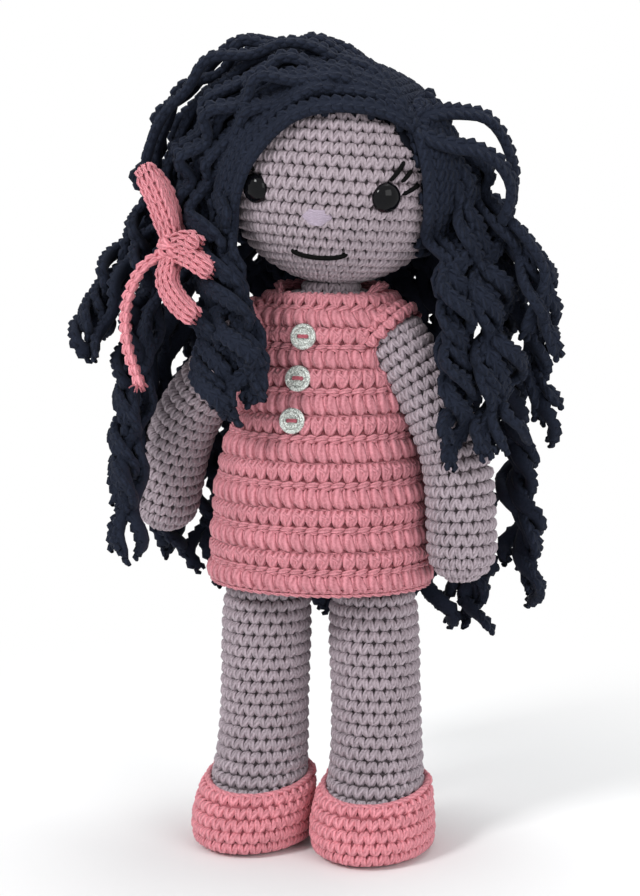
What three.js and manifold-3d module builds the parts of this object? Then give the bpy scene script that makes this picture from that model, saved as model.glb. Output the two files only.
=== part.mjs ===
// Crochet doll, standing, facing -Y, +Z up, millimetres, origin on the floor under its middle.
// Left and right are the doll's own: its left is +X.
// Stuffed head, body, arms and legs, a dress, slip-on shoes, safety eyes, a wig of crocheted
// chains on a cap, and a cord tied in a bow.

import * as THREE from 'three';
import { mergeVertices } from 'three/addons/utils/BufferGeometryUtils.js';
import Module from 'manifold-3d';

const wasm = await Module();
wasm.setup();

// Clearances
const TOUCH = 0.3;            // between pieces that are sewn or pushed against each other
const SWING = 0.7;            // round an arm or a leg over its whole swing

// Where the doll stands under its overall box
const STAND_X = -1;
const STAND_Y = -6;

// Knitted skins
const SKIN_WALL = 2.6;
const DRESS_WALL = 3.4;
const SHOE_WALL = 3.4;
const CAP_WALL = 2.8;

// Legs: a straight leg that runs into an oval foot
const HIP_X = 23;
const HIP_Z = 112;
const HIP_RADIUS = 14.5;
const LEG_RADIUS = 17.4;
const LEG_SPLAY = 3.4;        // how much further apart the feet stand than the hips
const FOOT_HALF_WIDTH = 21;
const FOOT_HALF_LENGTH = 28;
const FOOT_FORWARD = 10;
const SOLE_THICKNESS = 3;
const INSTEP_Z = 40;
const LEG_FORWARD_LIMIT = 30;
const LEG_BACK_LIMIT = -20;

// Shoes
const RIM_HEEL_Z = 30;
const RIM_TOE_Z = 17;

// Body
const TORSO_BOTTOM_Z = 119;
const BELLY_HALF_WIDTH = 38;
const BELLY_HALF_DEPTH = 28;
const BELLY_Z = 148;
const WAIST_HALF_WIDTH = 33;
const WAIST_HALF_DEPTH = 25;
const WAIST_Z = 180;
const CHEST_HALF_WIDTH = 29;
const CHEST_HALF_DEPTH = 20;
const CHEST_Z = 208;
const NECK_RADIUS = 11;
const NECK_TOP_Z = 237;
const NECK_SLOPE = 15;        // from the top of the shoulders to the top of the neck
const NECK_LEAN = 5;          // how far the neck stands towards the doll's left

// Dress
const HEM_Z = 112;
const HEM_HALF_WIDTH = 46.5;
const HEM_HALF_DEPTH = 37;
const SLEEVE_Z = 221;
const SLEEVE_HALF_WIDTH = 35.5;
const YOKE_TOP_Z = 235;
const NECKLINE_HALF_WIDTH = 22;
const NECKLINE_HALF_DEPTH = 14;
const NECKLINE_DROP = 5;      // how much lower the neckline lies in front
const SLEEVE_WALL = 2.6;
const SLEEVE_EDGE = 2.5;      // how far the sleeve's slanted edge lies above the shoulder's middle

// Arms: bent a little outwards, thicker at the hand
const SHOULDER_X = 30;
const SHOULDER_Z = 213;
const SHOULDER_FORWARD = 5;   // how far in front of the body's middle the arms are sewn on
const SHOULDER_RADIUS = 12;
const HAND_RADIUS = 13;
const ARM_REACH = 28;         // from the shoulder outwards to the middle of the hand
const ARM_DROP = 84;          // and downwards
const RIGHT_ARM_LIFT = 14;    // degrees that the right arm stands further out
const RIGHT_ARM_BACK = 14;    // degrees that the right arm is swung back at rest
const ARM_FORWARD_LIMIT = 60;
const ARM_BACK_LIMIT = -35;
const SEAM_RADIUS = 4;        // of the opening in a limb's cover where it is sewn to the body

// Head
const HEAD_RADIUS = 46;
const HEAD_HALF_HEIGHT = 42;
const HEAD_X = 8;
const HEAD_Z = 279;
const HEAD_ROLL = 4;          // degrees that the head tips towards the doll's left
const NECK_HOLE_RADIUS = 8;

// Face, as azimuth from its own middle towards the doll's left and height over the head's middle
const FACE_AZIMUTH = 6.5;     // degrees that the face looks towards the doll's left
const EYE_RADIUS = 6;
const EYE_AZIMUTH = 34;
const EYE_HEIGHT = -5;
const EYE_DOME = 3.6;
const SHANK_RADIUS = 2;
const SHANK_LENGTH = 9;
const WASHER_RADIUS = 5.5;
const WASHER_THICKNESS = 1.6;
const NOSE_HEIGHT = -14;
const NOSE_HALF_WIDTH = 5.6;
const NOSE_HALF_HEIGHT = 2.5;
const MOUTH_HEIGHT = -28;
const MOUTH_HALF_WIDTH = 11.5;
const MOUTH_SAG = 1.6;
const THREAD_RADIUS = 0.9;
const LASH_SEAT = 0.05;       // how high a lash lies over the knitted skin
const LASHES = [              // start and end, sideways and upwards from the eye's middle
  { from: [2.2, 7.0], to: [6.0, 14.0] },
  { from: [5.6, 7.2], to: [9.6, 11.8] },
  { from: [6.6, 1.8], to: [14.4, 5.6] },
];

// Wig
const FACE_OPENING_X = 2.5;     // middle of the opening, from the head's middle
const FACE_OPENING_Z = -11;
const FACE_OPENING_HALF_WIDTH = 40.5;
const FACE_OPENING_HALF_HEIGHT = 37;
const FACE_OPENING_BACK = -14;
const CAP_BOTTOM = -26;
const PARTING_FRONT = [42, -27, 24];  // the way from the head's middle to the parting's front end
const PARTING_BACK = [24, 46, 16];    // and to its back end
const PARTING_ROWS = 5.6;     // between the two rows of roots
const ROOT_RADIUS = 2;
const LOCK_RADIUS = 4.3;
const TIP_RADIUS = 3.2;
const WAVE_LENGTH = 30;
const WAVE_HEIGHT = 3.6;
const LEFT_ROOT_SEAT = 0.03;  // how high a lock lies over the cap at its root
const RIGHT_ROOT_SEAT = 0.15;
const LOCK_SEAT = 1.15;       // and from a third of the way to the rim on
const LEFT_RIM = [66, 172];   // azimuths of the first and the last lock at the cap's rim
const RIGHT_RIM = [-47, -168];
const SWEEP = 0.44;           // how far the right locks rise over the straight way, in head radii
// Where each lock ends: azimuth, distance from the head's axis, height over the floor, and how far
// it stands off the cap at the rim
const LEFT_ENDS = [
  [70, 60, 172, 0], [80, 72, 164, 2], [92, 90, 212, 4], [106, 87, 178, 4],
  [122, 84, 104, 3], [139, 72, 90, 2], [155, 65, 86, 0], [170, 60, 95, 0],
];
const RIGHT_ENDS = [
  [-26, 54, 188, 0], [-40, 60, 190, 4], [-62, 92, 128, 10], [-75, 108, 206, 15], [-90, 96, 142, 15],
  [-108, 96, 120, 13], [-122, 84, 106, 9], [-140, 71, 98, 4], [-157, 63, 92, 1],
];

// Bow: its knot is tied over the second lock of the right side, and the rest is measured from it
const BOW_CORD_RADIUS = 3.1;
const BOW_Z = 251;
const BOW_AZIMUTH = -62;
const BOW_KNOT_RADIUS = 5.8;
const BOW_LOOPS = {
  upper_loop: [[-2.2, -1.8, 6.4], [-8, -2.4, 18], [-14, -3, 28], [-17.5, 0.5, 32], [-15, 4.6, 27],
    [-8, 4.8, 17], [-2.6, 4.4, 5]],
  side_loop: [[4.3, -3.7, 3], [13, -9.5, 6], [18, -11, 4.5]],
  short_tail: [[4.1, -4.4, -1.8], [13, -12, -5.5], [20, -13, -9]],
  thick_tail: [[-0.7, -3.9, -5.5], [0, -8.5, -13], [6, -11, -21], [13, -13, -26]],
  long_tail: [[-5, -3, -2.3], [-12, -6, -8], [-18, -6, -20], [-19.5, -5, -32], [-18.5, -4, -42],
    [-15, -3, -53]],
};

// Buttons
const BUTTON_RADIUS = 5.3;
const BUTTON_THICKNESS = 2.2;
const BUTTON_HOLE_RADIUS = 0.9;
const BUTTON_HOLE_APART = 3.4;
const BUTTON_THREAD_RADIUS = 0.5;
const BUTTON_X = -3.8;        // from the middle of the dress
const BUTTON_TOP_Z = 215.5;
const BUTTON_SPACING = 16.8;

const { degToRad, lerp, smoothstep } = THREE.MathUtils;
const v3 = (x, y, z) => new THREE.Vector3(x, y, z);
const UP = v3(0, 0, 1);

// Colours of yarns and hardware
const FINISH = {
  skin: { color: 0xa59196, roughness: 0.9, metalness: 0 },
  hair: { color: 0x1b2029, roughness: 0.9, metalness: 0 },
  dress: { color: 0xcd6f7d, roughness: 0.9, metalness: 0 },
  pink: { color: 0xdf8793, roughness: 0.9, metalness: 0 },
  filling: { color: 0xf0efea, roughness: 1, metalness: 0 },
  thread: { color: 0x121214, roughness: 0.8, metalness: 0 },
  nose: { color: 0xb5a7b2, roughness: 0.8, metalness: 0 },
  eye: { color: 0x08080a, roughness: 0.1, metalness: 0 },
  washer: { color: 0xf2f2f0, roughness: 0.5, metalness: 0 },
  button: { color: 0xc8cdc8, roughness: 0.4, metalness: 0.3 },
};

const doll = new THREE.Group();
doll.position.set(STAND_X, STAND_Y, 0);

/** Adds a named piece in one of the finishes to a group. */
function piece(name, finish, geometry, group = doll) {
  const mesh = new THREE.Mesh(geometry, new THREE.MeshStandardMaterial(FINISH[finish]));
  mesh.name = name;
  group.add(mesh);
  return mesh;
}

/** The signed volume of an indexed closed mesh. */
function signedVolume(geometry) {
  const p = geometry.attributes.position;
  const at = (i) => v3().fromBufferAttribute(p, i);
  let volume = 0;
  for (let i = 0; i < geometry.index.count; i += 3) {
    const [a, b, c] = [0, 1, 2].map((k) => at(geometry.index.getX(i + k)));
    volume += a.dot(b.cross(c)) / 6;
  }
  return volume;
}

/** The bare geometry with its shared vertices merged and its faces turned outwards. */
function outwardFacing(geometry) {
  const bare = geometry.clone();
  bare.deleteAttribute('normal');
  bare.deleteAttribute('uv');
  const merged = mergeVertices(bare, 1e-4);
  if (signedVolume(merged) < 0) {
    const turned = [...merged.index.array];
    for (let i = 0; i < turned.length; i += 3) {
      [turned[i], turned[i + 1]] = [turned[i + 1], turned[i]];
    }
    merged.setIndex(turned);
  }
  merged.computeVertexNormals();
  return merged;
}

/** A closed skin over a stack of rings, with a fan over the first and the last ring. */
function skin(rings) {
  const sides = rings[0].length;
  const positions = rings.flat().flatMap((p) => [p.x, p.y, p.z]);
  const index = [];
  for (let r = 0; r + 1 < rings.length; r++) {
    for (let s = 0; s < sides; s++) {
      const a = r * sides + s;
      const b = r * sides + ((s + 1) % sides);
      index.push(a, b, a + sides, b, b + sides, a + sides);
    }
  }
  for (const [ring, flip] of [[0, true], [rings.length - 1, false]]) {
    const middle = positions.length / 3;
    const centre = rings[ring].reduce((sum, p) => sum.add(p), v3(0, 0, 0)).divideScalar(sides);
    positions.push(centre.x, centre.y, centre.z);
    for (let s = 0; s < sides; s++) {
      const a = ring * sides + s;
      const b = ring * sides + ((s + 1) % sides);
      index.push(...(flip ? [b, a, middle] : [a, b, middle]));
    }
  }
  const geometry = new THREE.BufferGeometry();
  geometry.setAttribute('position', new THREE.Float32BufferAttribute(positions, 3));
  geometry.setIndex(index);
  return outwardFacing(geometry);
}

/** A manifold solid of a closed geometry. */
function solid(geometry) {
  const merged = outwardFacing(geometry);
  merged.deleteAttribute('normal');
  return new wasm.Manifold(new wasm.Mesh({
    numProp: 3,
    vertProperties: new Float32Array(merged.attributes.position.array),
    triVerts: new Uint32Array(merged.index.array),
  }));
}

/** A three.js geometry of a manifold solid. */
function geometryOf(made) {
  const mesh = made.getMesh();
  const geometry = new THREE.BufferGeometry();
  geometry.setAttribute('position', new THREE.BufferAttribute(mesh.vertProperties, 3));
  geometry.setIndex(new THREE.BufferAttribute(mesh.triVerts, 1));
  geometry.computeVertexNormals();
  return geometry;
}

/** The geometry less each of the cutters, keeping its largest piece. */
function cut(geometry, ...cutters) {
  const left = cutters.reduce((made, cutter) => made.subtract(solid(cutter)), solid(geometry));
  const parts = left.decompose().sort((a, b) => b.volume() - a.volume());
  return geometryOf(parts[0]);
}

/** A smooth curve through [position, value, value, ...] rows, read at a position. */
function section(rows) {
  return (at) => {
    let k = 0;
    while (k + 2 < rows.length && at > rows[k + 1][0]) {
      k += 1;
    }
    const [low, high] = [rows[k], rows[k + 1]];
    const share = THREE.MathUtils.clamp((at - low[0]) / (high[0] - low[0]), 0, 1);
    const before = rows[Math.max(0, k - 1)];
    const after = rows[Math.min(rows.length - 1, k + 2)];
    return low.slice(1).map((value, i) => {
      const slopeIn = (high[i + 1] - before[i + 1]) / (high[0] - before[0]) * (high[0] - low[0]);
      const slopeOut = (after[i + 1] - value) / (after[0] - low[0]) * (high[0] - low[0]);
      const t = share;
      return value * (2 * t ** 3 - 3 * t ** 2 + 1) + high[i + 1] * (3 * t ** 2 - 2 * t ** 3)
        + slopeIn * (t ** 3 - 2 * t ** 2 + t) + slopeOut * (t ** 3 - t ** 2);
    });
  };
}

/** An oval ring at a height, starting at +X. */
function ovalRing(x, y, z, halfWidth, halfDepth, sides) {
  return Array.from({ length: sides }, (_, s) => {
    const angle = (2 * Math.PI * s) / sides;
    return v3(x + halfWidth * Math.cos(angle), y + halfDepth * Math.sin(angle), z);
  });
}

/** A round tube along a curve with its own radius at each share of the length, domed ends. */
function tube(curve, radiusAt, sides, steps, grow = 0) {
  const length = curve.getLength();
  const dome = (share) => [60, 30].map((angle) => {
    const radius = radiusAt(share);
    return {
      inset: radius * (1 - Math.cos(degToRad(90 - angle))),
      radius: radius * Math.sin(degToRad(90 - angle)),
    };
  });
  const startRadius = radiusAt(0);
  const endRadius = radiusAt(1);
  const stations = [
    ...dome(0).map((d) => ({ at: d.inset / length, radius: d.radius })),
    ...Array.from({ length: steps + 1 }, (_, k) => {
      const share = lerp(startRadius / length, 1 - endRadius / length, k / steps);
      return { at: share, radius: radiusAt(share) };
    }),
    ...dome(1).reverse().map((d) => ({ at: 1 - d.inset / length, radius: d.radius })),
  ];
  let side = null;
  const rings = stations.map(({ at, radius }) => {
    const centre = curve.getPointAt(at);
    const along = curve.getTangentAt(at);
    side = side ?? (Math.abs(along.z) > 0.9 ? v3(1, 0, 0) : UP.clone());
    side = side.clone().addScaledVector(along, -side.dot(along)).normalize();
    const across = along.clone().cross(side);
    return Array.from({ length: sides }, (_, s) => {
      const angle = (2 * Math.PI * s) / sides;
      return centre.clone()
        .addScaledVector(side, (radius + grow) * Math.cos(angle))
        .addScaledVector(across, (radius + grow) * Math.sin(angle));
    });
  });
  return skin(rings);
}

/** A ball, squashed to its half height, round a middle. */
function ball(radius, halfHeight, columns, rows) {
  const profile = Array.from({ length: rows + 1 }, (_, k) => {
    const angle = -Math.PI / 2 + (Math.PI * k) / rows;
    return new THREE.Vector2(
      k === 0 || k === rows ? 0 : radius * Math.cos(angle), halfHeight * Math.sin(angle));
  });
  return new THREE.LatheGeometry(profile, columns).rotateX(Math.PI / 2);
}

// Legs with feet, in the leg's own place with the hip over the origin

const footSection = section([
  [SOLE_THICKNESS + TOUCH, FOOT_HALF_WIDTH - 2.5, FOOT_HALF_LENGTH - 3, -FOOT_FORWARD],
  [10, FOOT_HALF_WIDTH, FOOT_HALF_LENGTH, -FOOT_FORWARD],
  [18, FOOT_HALF_WIDTH - 0.6, FOOT_HALF_LENGTH - 2, -FOOT_FORWARD + 1.6],
  [27, FOOT_HALF_WIDTH - 2, FOOT_HALF_LENGTH - 7, -FOOT_FORWARD + 6],
  [INSTEP_Z, LEG_RADIUS + 0.6, LEG_RADIUS + 0.8, -1],
  [60, LEG_RADIUS, LEG_RADIUS, 0],
  [HIP_Z - 12, LEG_RADIUS - 0.2, LEG_RADIUS - 0.2, 0],
  [HIP_Z, HIP_RADIUS, HIP_RADIUS, 0],
]);

/** How far out a leg stands at a height. */
const splay = (z) => LEG_SPLAY * (1 - Math.min(z, HIP_Z) / HIP_Z);

/** A leg with its foot; grow is how much larger than the cover it is all round. */
function legForm(grow, sides, heights) {
  const bottom = SOLE_THICKNESS + TOUCH - grow;
  const rings = heights.map((z) => {
    const [halfWidth, halfDepth, y] = footSection(z);
    return ovalRing(splay(z), y, Math.max(z, bottom), halfWidth + grow, halfDepth + grow, sides);
  });
  rings[0].forEach((p) => { p.z = bottom; });
  for (const angle of [25, 50, 72]) {
    const radius = (HIP_RADIUS + grow) * Math.cos(degToRad(angle));
    rings.push(ovalRing(0, 0, HIP_Z + (HIP_RADIUS + grow) * Math.sin(degToRad(angle)),
      radius, radius, sides));
  }
  return skin(rings);
}

const LEG_HEIGHTS = [SOLE_THICKNESS + TOUCH, 6, 12, 18, 26, INSTEP_Z, 60, 80, HIP_Z - 12, HIP_Z];

// A shoe follows the foot with its own wall, and its rim slopes from the heel to the toe
/** Half of space above the shoe's sloping rim, as a block. */
function aboveRim() {
  const [, halfLength, y] = footSection(RIM_TOE_Z);
  const heel = y + halfLength;
  const toe = y - halfLength;
  const slope = Math.atan2(RIM_HEEL_Z - RIM_TOE_Z, heel - toe);
  const size = 6 * FOOT_HALF_LENGTH;
  const block = new THREE.BoxGeometry(size, size, size);
  block.translate(0, 0, size / 2);
  block.rotateX(slope);
  block.translate(0, (heel + toe) / 2, (RIM_HEEL_Z + RIM_TOE_Z) / 2);
  return block;
}

/** A slip-on shoe in the leg's own place. */
function shoeForm() {
  const sides = 22;
  const around = (z, inset, height = z) => {
    const [halfWidth, halfDepth, y] = footSection(Math.max(height, 10));
    const wall = SHOE_WALL + TOUCH - inset;
    return ovalRing(splay(z), y, z, halfWidth + wall, halfDepth + wall, sides);
  };
  const outer = skin([around(0, 4.5), around(1.6, 1.4), around(5, 0.2), around(11, 0), around(18, 0),
    around(26, 0), around(RIM_HEEL_Z + 5, 0)]);
  return cut(outer, legForm(TOUCH, 16, LEG_HEIGHTS), aboveRim());
}

/** How far the upper body leans towards the doll's left at a height. */
const neckX = (z) => NECK_LEAN * smoothstep(z, BELLY_Z, NECK_TOP_Z);

// Arms, in a frame with the shoulder at the origin, hanging in the XZ plane towards +X

const armCurve = new THREE.CatmullRomCurve3([
  v3(-SHOULDER_RADIUS * 0.44, 0, SHOULDER_RADIUS * 0.9),
  v3(0, 0, 0),
  v3(ARM_REACH * 0.5, 0, -ARM_DROP * 0.25),
  v3(ARM_REACH * 0.92, 0, -ARM_DROP * 0.6),
  v3(ARM_REACH * 1.02, 0, -ARM_DROP - HAND_RADIUS),
]);
const armRadius = (share) => lerp(SHOULDER_RADIUS, HAND_RADIUS, smoothstep(share, 0.1, 0.85));

/** An arm, larger all round by grow. */
const armForm = (grow, sides = 12, steps = 8) => tube(armCurve, armRadius, sides, steps, grow);

const armLift = (side) => (side < 0 ? RIGHT_ARM_LIFT : 0);
const armBack = (side) => (side < 0 ? RIGHT_ARM_BACK : 0);
const shoulderX = (side) => neckX(SHOULDER_Z) + side * SHOULDER_X;

/** The pose of an arm at the shoulder, swung forwards from rest by an angle in degrees. */
function armPlace(side, swing) {
  return new THREE.Matrix4()
    .makeTranslation(shoulderX(side), -SHOULDER_FORWARD, SHOULDER_Z)
    .multiply(new THREE.Matrix4().makeRotationX(degToRad(armBack(side) - swing)))
    .multiply(new THREE.Matrix4().makeScale(side, 1, 1))
    .multiply(new THREE.Matrix4().makeRotationY(degToRad(-armLift(side))));
}

/** A geometry moved by a matrix, facing outwards also where the matrix mirrors it. */
const placed = (geometry, matrix) => outwardFacing(geometry.clone().applyMatrix4(matrix));

/** A wedge about the X axis, from one turn of a hanging limb to another, in degrees. */
function wedge(from, to, reach) {
  const turns = 4;
  const rim = Array.from({ length: turns + 1 }, (_, k) => {
    const angle = degToRad(lerp(from, to, k / turns));
    return new THREE.Vector2(reach * Math.sin(angle), -reach * Math.cos(angle));
  });
  const shape = new THREE.Shape([new THREE.Vector2(0, 0), ...rim]);
  return new THREE.ExtrudeGeometry(shape, { depth: 2 * reach, bevelEnabled: false })
    .applyMatrix4(new THREE.Matrix4().makeBasis(v3(0, 1, 0), v3(0, 0, 1), v3(1, 0, 0)))
    .translate(-reach, 0, 0);
}

/** The outline of a hanging arm turned all the way round its hinge, at the shoulder. */
function armTurned(side, clearance, columns) {
  const lift = new THREE.Matrix4().makeRotationY(degToRad(-armLift(side)));
  const edges = { inner: [], outer: [] };
  for (const share of [0.25, 0.37, 0.5, 0.62]) {
    const centre = armCurve.getPointAt(share).applyMatrix4(lift);
    const along = armCurve.getTangentAt(share).transformDirection(lift);
    const radius = armRadius(share) + clearance + TOUCH;
    edges.inner.push(new THREE.Vector2(radius * along.x - centre.z, centre.x + radius * along.z));
    edges.outer.push(new THREE.Vector2(-radius * along.x - centre.z, centre.x - radius * along.z));
  }
  const socket = SHOULDER_RADIUS + clearance + 0.7;
  const middle = [new THREE.Vector2(0, -socket), new THREE.Vector2(socket * 0.7, -socket * 0.9)];
  const far = [new THREE.Vector2(socket * 0.8, socket * 0.8), new THREE.Vector2(0, socket)];
  const profile = [...middle, ...edges.inner, ...edges.outer.reverse(), ...far];
  return new THREE.LatheGeometry(profile, columns).rotateZ(-Math.PI / 2);
}

const shoulderPlace = (side) => new THREE.Matrix4()
  .makeTranslation(shoulderX(side), -SHOULDER_FORWARD, SHOULDER_Z)
  .multiply(new THREE.Matrix4().makeScale(side, 1, 1));

/** The socket in the body for an arm. */
const armSocket = (side, clearance) => placed(armTurned(side, clearance, 14), shoulderPlace(side));

/** The armhole of the dress: the room that the arm sweeps between its limits. */
function armhole(side) {
  const back = armBack(side);
  const swing = wedge(back - ARM_FORWARD_LIMIT, back - ARM_BACK_LIMIT, 3 * ARM_DROP);
  const swept = solid(armTurned(side, SWING, 16)).intersect(solid(swing));
  const limits = [ARM_FORWARD_LIMIT, ARM_BACK_LIMIT]
    .map((angle) => solid(placed(armForm(SWING, 9, 3), armPlace(side, angle))));
  const shoulder = SHOULDER_RADIUS + SWING;
  const socket = solid(ball(shoulder, shoulder, 14, 7).applyMatrix4(shoulderPlace(side)));
  return geometryOf(limits.reduce((sum, limb) => sum.add(limb),
    socket.add(solid(placed(geometryOf(swept), shoulderPlace(side))))));
}

/** The round room of a hip. */
function hipRoom(side, clearance) {
  const radius = HIP_RADIUS + SWING + clearance;
  return ball(radius, radius, 16, 8).translate(side * HIP_X, 0, HIP_Z);
}

// Body
const torsoSection = section([
  [TORSO_BOTTOM_Z, 0.76 * BELLY_HALF_WIDTH, 0.71 * BELLY_HALF_DEPTH],
  [lerp(TORSO_BOTTOM_Z, BELLY_Z, 0.2), 0.92 * BELLY_HALF_WIDTH, 0.91 * BELLY_HALF_DEPTH],
  [BELLY_Z, BELLY_HALF_WIDTH, BELLY_HALF_DEPTH],
  [WAIST_Z, WAIST_HALF_WIDTH, WAIST_HALF_DEPTH],
  [CHEST_Z, CHEST_HALF_WIDTH, CHEST_HALF_DEPTH],
  [NECK_TOP_Z - NECK_SLOPE, 0.93 * CHEST_HALF_WIDTH, 0.88 * CHEST_HALF_DEPTH],
  [NECK_TOP_Z - 0.53 * NECK_SLOPE, 0.72 * CHEST_HALF_WIDTH, 0.72 * CHEST_HALF_DEPTH],
  [NECK_TOP_Z - 0.3 * NECK_SLOPE, 1.1 * NECK_RADIUS, 1.05 * NECK_RADIUS],
  [NECK_TOP_Z, 0.91 * NECK_RADIUS, 0.91 * NECK_RADIUS],
]);

/** The body with its neck, grown or shrunk all round. */
function torsoForm(grow, sides, top = NECK_TOP_Z) {
  const low = [0, 0.2, 0.58, 1].map((share) => lerp(TORSO_BOTTOM_Z, BELLY_Z, share));
  const high = [1, 0.53, 0.3].map((share) => NECK_TOP_Z - share * NECK_SLOPE);
  const heights = [...low, (BELLY_Z + WAIST_Z) / 2, WAIST_Z, CHEST_Z, ...high, top];
  return skin(heights.map((z, k) => {
    const [halfWidth, halfDepth] = torsoSection(z);
    const lift = k === 0 ? -grow : 0;
    return ovalRing(neckX(z), 0, z + lift, halfWidth + grow, halfDepth + grow, sides);
  }));
}

// Dress: a flared shell that rests on the shoulders, with cap sleeves and a scooped neckline
const skirtZ = (share) => lerp(HEM_Z, SLEEVE_Z, share);
const yokeZ = (share) => lerp(SLEEVE_Z, YOKE_TOP_Z, share);
const dressSection = section([
  [HEM_Z, HEM_HALF_WIDTH, HEM_HALF_DEPTH],
  [skirtZ(0.18), 0.975 * HEM_HALF_WIDTH, 0.98 * HEM_HALF_DEPTH],
  [skirtZ(0.4), 0.925 * HEM_HALF_WIDTH, 0.93 * HEM_HALF_DEPTH],
  [skirtZ(0.59), 0.825 * HEM_HALF_WIDTH, 0.84 * HEM_HALF_DEPTH],
  [skirtZ(0.76), 0.755 * HEM_HALF_WIDTH, 0.745 * HEM_HALF_DEPTH],
  [CHEST_Z, CHEST_HALF_WIDTH + DRESS_WALL + 3 * TOUCH, CHEST_HALF_DEPTH + DRESS_WALL + 4 * TOUCH],
  [SLEEVE_Z, SLEEVE_HALF_WIDTH, CHEST_HALF_DEPTH + 0.73 * DRESS_WALL],
  [yokeZ(0.57), 0.81 * SLEEVE_HALF_WIDTH, 0.97 * CHEST_HALF_DEPTH],
  [YOKE_TOP_Z, NECKLINE_HALF_WIDTH + 1, NECKLINE_HALF_DEPTH + 1],
]);

/** A cap sleeve: the part of a ball over the shoulder that lies above a slanted edge. */
function capSleeve(side) {
  const reach = SHOULDER_RADIUS + SWING + SLEEVE_WALL;
  const above = new THREE.BoxGeometry(4 * reach, 4 * reach, 2 * reach)
    .translate(0, 0, SLEEVE_EDGE + reach)
    .rotateY(-Math.PI / 4);
  const cap = solid(ball(reach, reach, 20, 10)).intersect(solid(above));
  return placed(geometryOf(cap), shoulderPlace(side));
}

/** The dress without its armholes. */
function dressBody() {
  const sides = 28;
  const skirt = [0.18, 0.4, 0.59, 0.76].map(skirtZ);
  const chest = [...skirt, CHEST_Z, (CHEST_Z + SLEEVE_Z) / 2, SLEEVE_Z];
  const outer = skin([HEM_Z, ...chest, ...[0.28, 0.57, 1].map(yokeZ)].map((z) => {
    const [halfWidth, halfDepth] = dressSection(z);
    return ovalRing(neckX(z), 0, z, halfWidth, halfDepth, sides);
  }));
  const below = HEM_Z - DRESS_WALL;
  const above = YOKE_TOP_Z + 2 * DRESS_WALL;
  const inner = skin([below, ...chest, ...[0.22, 0.5, 0.72].map(yokeZ), above].map((z) => {
    const [halfWidth, halfDepth] = dressSection(Math.min(z, YOKE_TOP_Z));
    const wall = z > SLEEVE_Z ? 1.25 * DRESS_WALL : DRESS_WALL;
    return ovalRing(neckX(z), 0, z, halfWidth - wall, halfDepth - wall, sides);
  }));
  const scoop = new THREE.CylinderGeometry(NECKLINE_HALF_WIDTH, NECKLINE_HALF_WIDTH,
    2 * NECKLINE_HALF_DEPTH, 28)
    .rotateX(Math.PI / 2)
    .scale(1, 1, (2 * NECKLINE_DROP) / NECKLINE_HALF_WIDTH)
    .translate(NECK_LEAN, -1.3 * NECKLINE_HALF_DEPTH, YOKE_TOP_Z + 1);
  const dressed = [1, -1].reduce((sum, side) => sum.add(solid(capSleeve(side))), solid(outer));
  return cut(geometryOf(dressed), inner, torsoForm(TOUCH, 22), scoop);
}

// Head: everything on it is placed in its own tipped frame
const headFrame = new THREE.Group();
headFrame.position.set(HEAD_X, 0, HEAD_Z);
headFrame.rotation.y = degToRad(HEAD_ROLL);
doll.add(headFrame);

const headForm = (grow, columns = 24, rows = 12) =>
  ball(HEAD_RADIUS + grow, HEAD_HALF_HEIGHT + grow, columns, rows);

/** A point over the head's surface at an azimuth and a height, standing off it by out. */
function onHead(azimuth, height, out = 0) {
  const angle = degToRad(azimuth);
  const reach = Math.sqrt(Math.max(0, 1 - (height / HEAD_HALF_HEIGHT) ** 2)) * HEAD_RADIUS;
  const point = v3(reach * Math.sin(angle), -reach * Math.cos(angle), height);
  const normal = v3(point.x / HEAD_RADIUS ** 2, point.y / HEAD_RADIUS ** 2,
    point.z / HEAD_HALF_HEIGHT ** 2).normalize();
  return point.addScaledVector(normal, out);
}

/** A stitch laid over the head through points, standing off by its own radius. */
function stitch(points, radius, steps, sides = 6) {
  const curve = new THREE.CatmullRomCurve3(points);
  return tube(curve, () => radius, sides, steps);
}

/** A point over the face, sideways and upwards in millimetres from an azimuth and height. */
function onFace(azimuth, height, side, up, out) {
  const here = onHead(azimuth, height);
  const turn = (180 / Math.PI) * (side / Math.hypot(here.x, here.y));
  return onHead(azimuth + turn, height + up, out);
}

/** The eye's dome and shank, looking along -Y from the origin on the skin. */
function eyeForm() {
  const profile = [
    [0, -SHANK_LENGTH], [SHANK_RADIUS - 0.3, -SHANK_LENGTH], [SHANK_RADIUS, -SHANK_LENGTH + 0.6],
    [SHANK_RADIUS, TOUCH], [EYE_RADIUS - 0.3, TOUCH], [EYE_RADIUS, TOUCH + 0.5],
  ];
  for (let angle = 22; angle < 90; angle += 22) {
    profile.push([EYE_RADIUS * Math.cos(degToRad(angle)),
      TOUCH + 0.5 + EYE_DOME * Math.sin(degToRad(angle))]);
  }
  profile.push([0, TOUCH + 0.5 + EYE_DOME]);
  return new THREE.LatheGeometry(profile.map(([r, h]) => new THREE.Vector2(r, h)), 15)
    .rotateX(Math.PI);
}

/** The washer that locks the shank inside the head. */
function washerForm() {
  const inner = SHANK_RADIUS + TOUCH;
  const back = -SKIN_WALL - TOUCH - 1.6;
  const profile = [[inner, back - WASHER_THICKNESS], [WASHER_RADIUS - 0.5, back - WASHER_THICKNESS],
    [WASHER_RADIUS, back - WASHER_THICKNESS / 2], [WASHER_RADIUS, back - 0.3], [inner, back],
    [inner, back - WASHER_THICKNESS]];
  return new THREE.LatheGeometry(profile.map(([r, h]) => new THREE.Vector2(r, h)), 12)
    .rotateX(Math.PI);
}

/** A matrix that turns +Y outwards at a place on the head. */
function outwards(azimuth, height) {
  const at = onHead(azimuth, height);
  const out = onHead(azimuth, height, 1).sub(at);
  const turn = new THREE.Quaternion().setFromUnitVectors(v3(0, -1, 0), out);
  return new THREE.Matrix4().compose(at, turn, v3(1, 1, 1));
}

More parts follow.
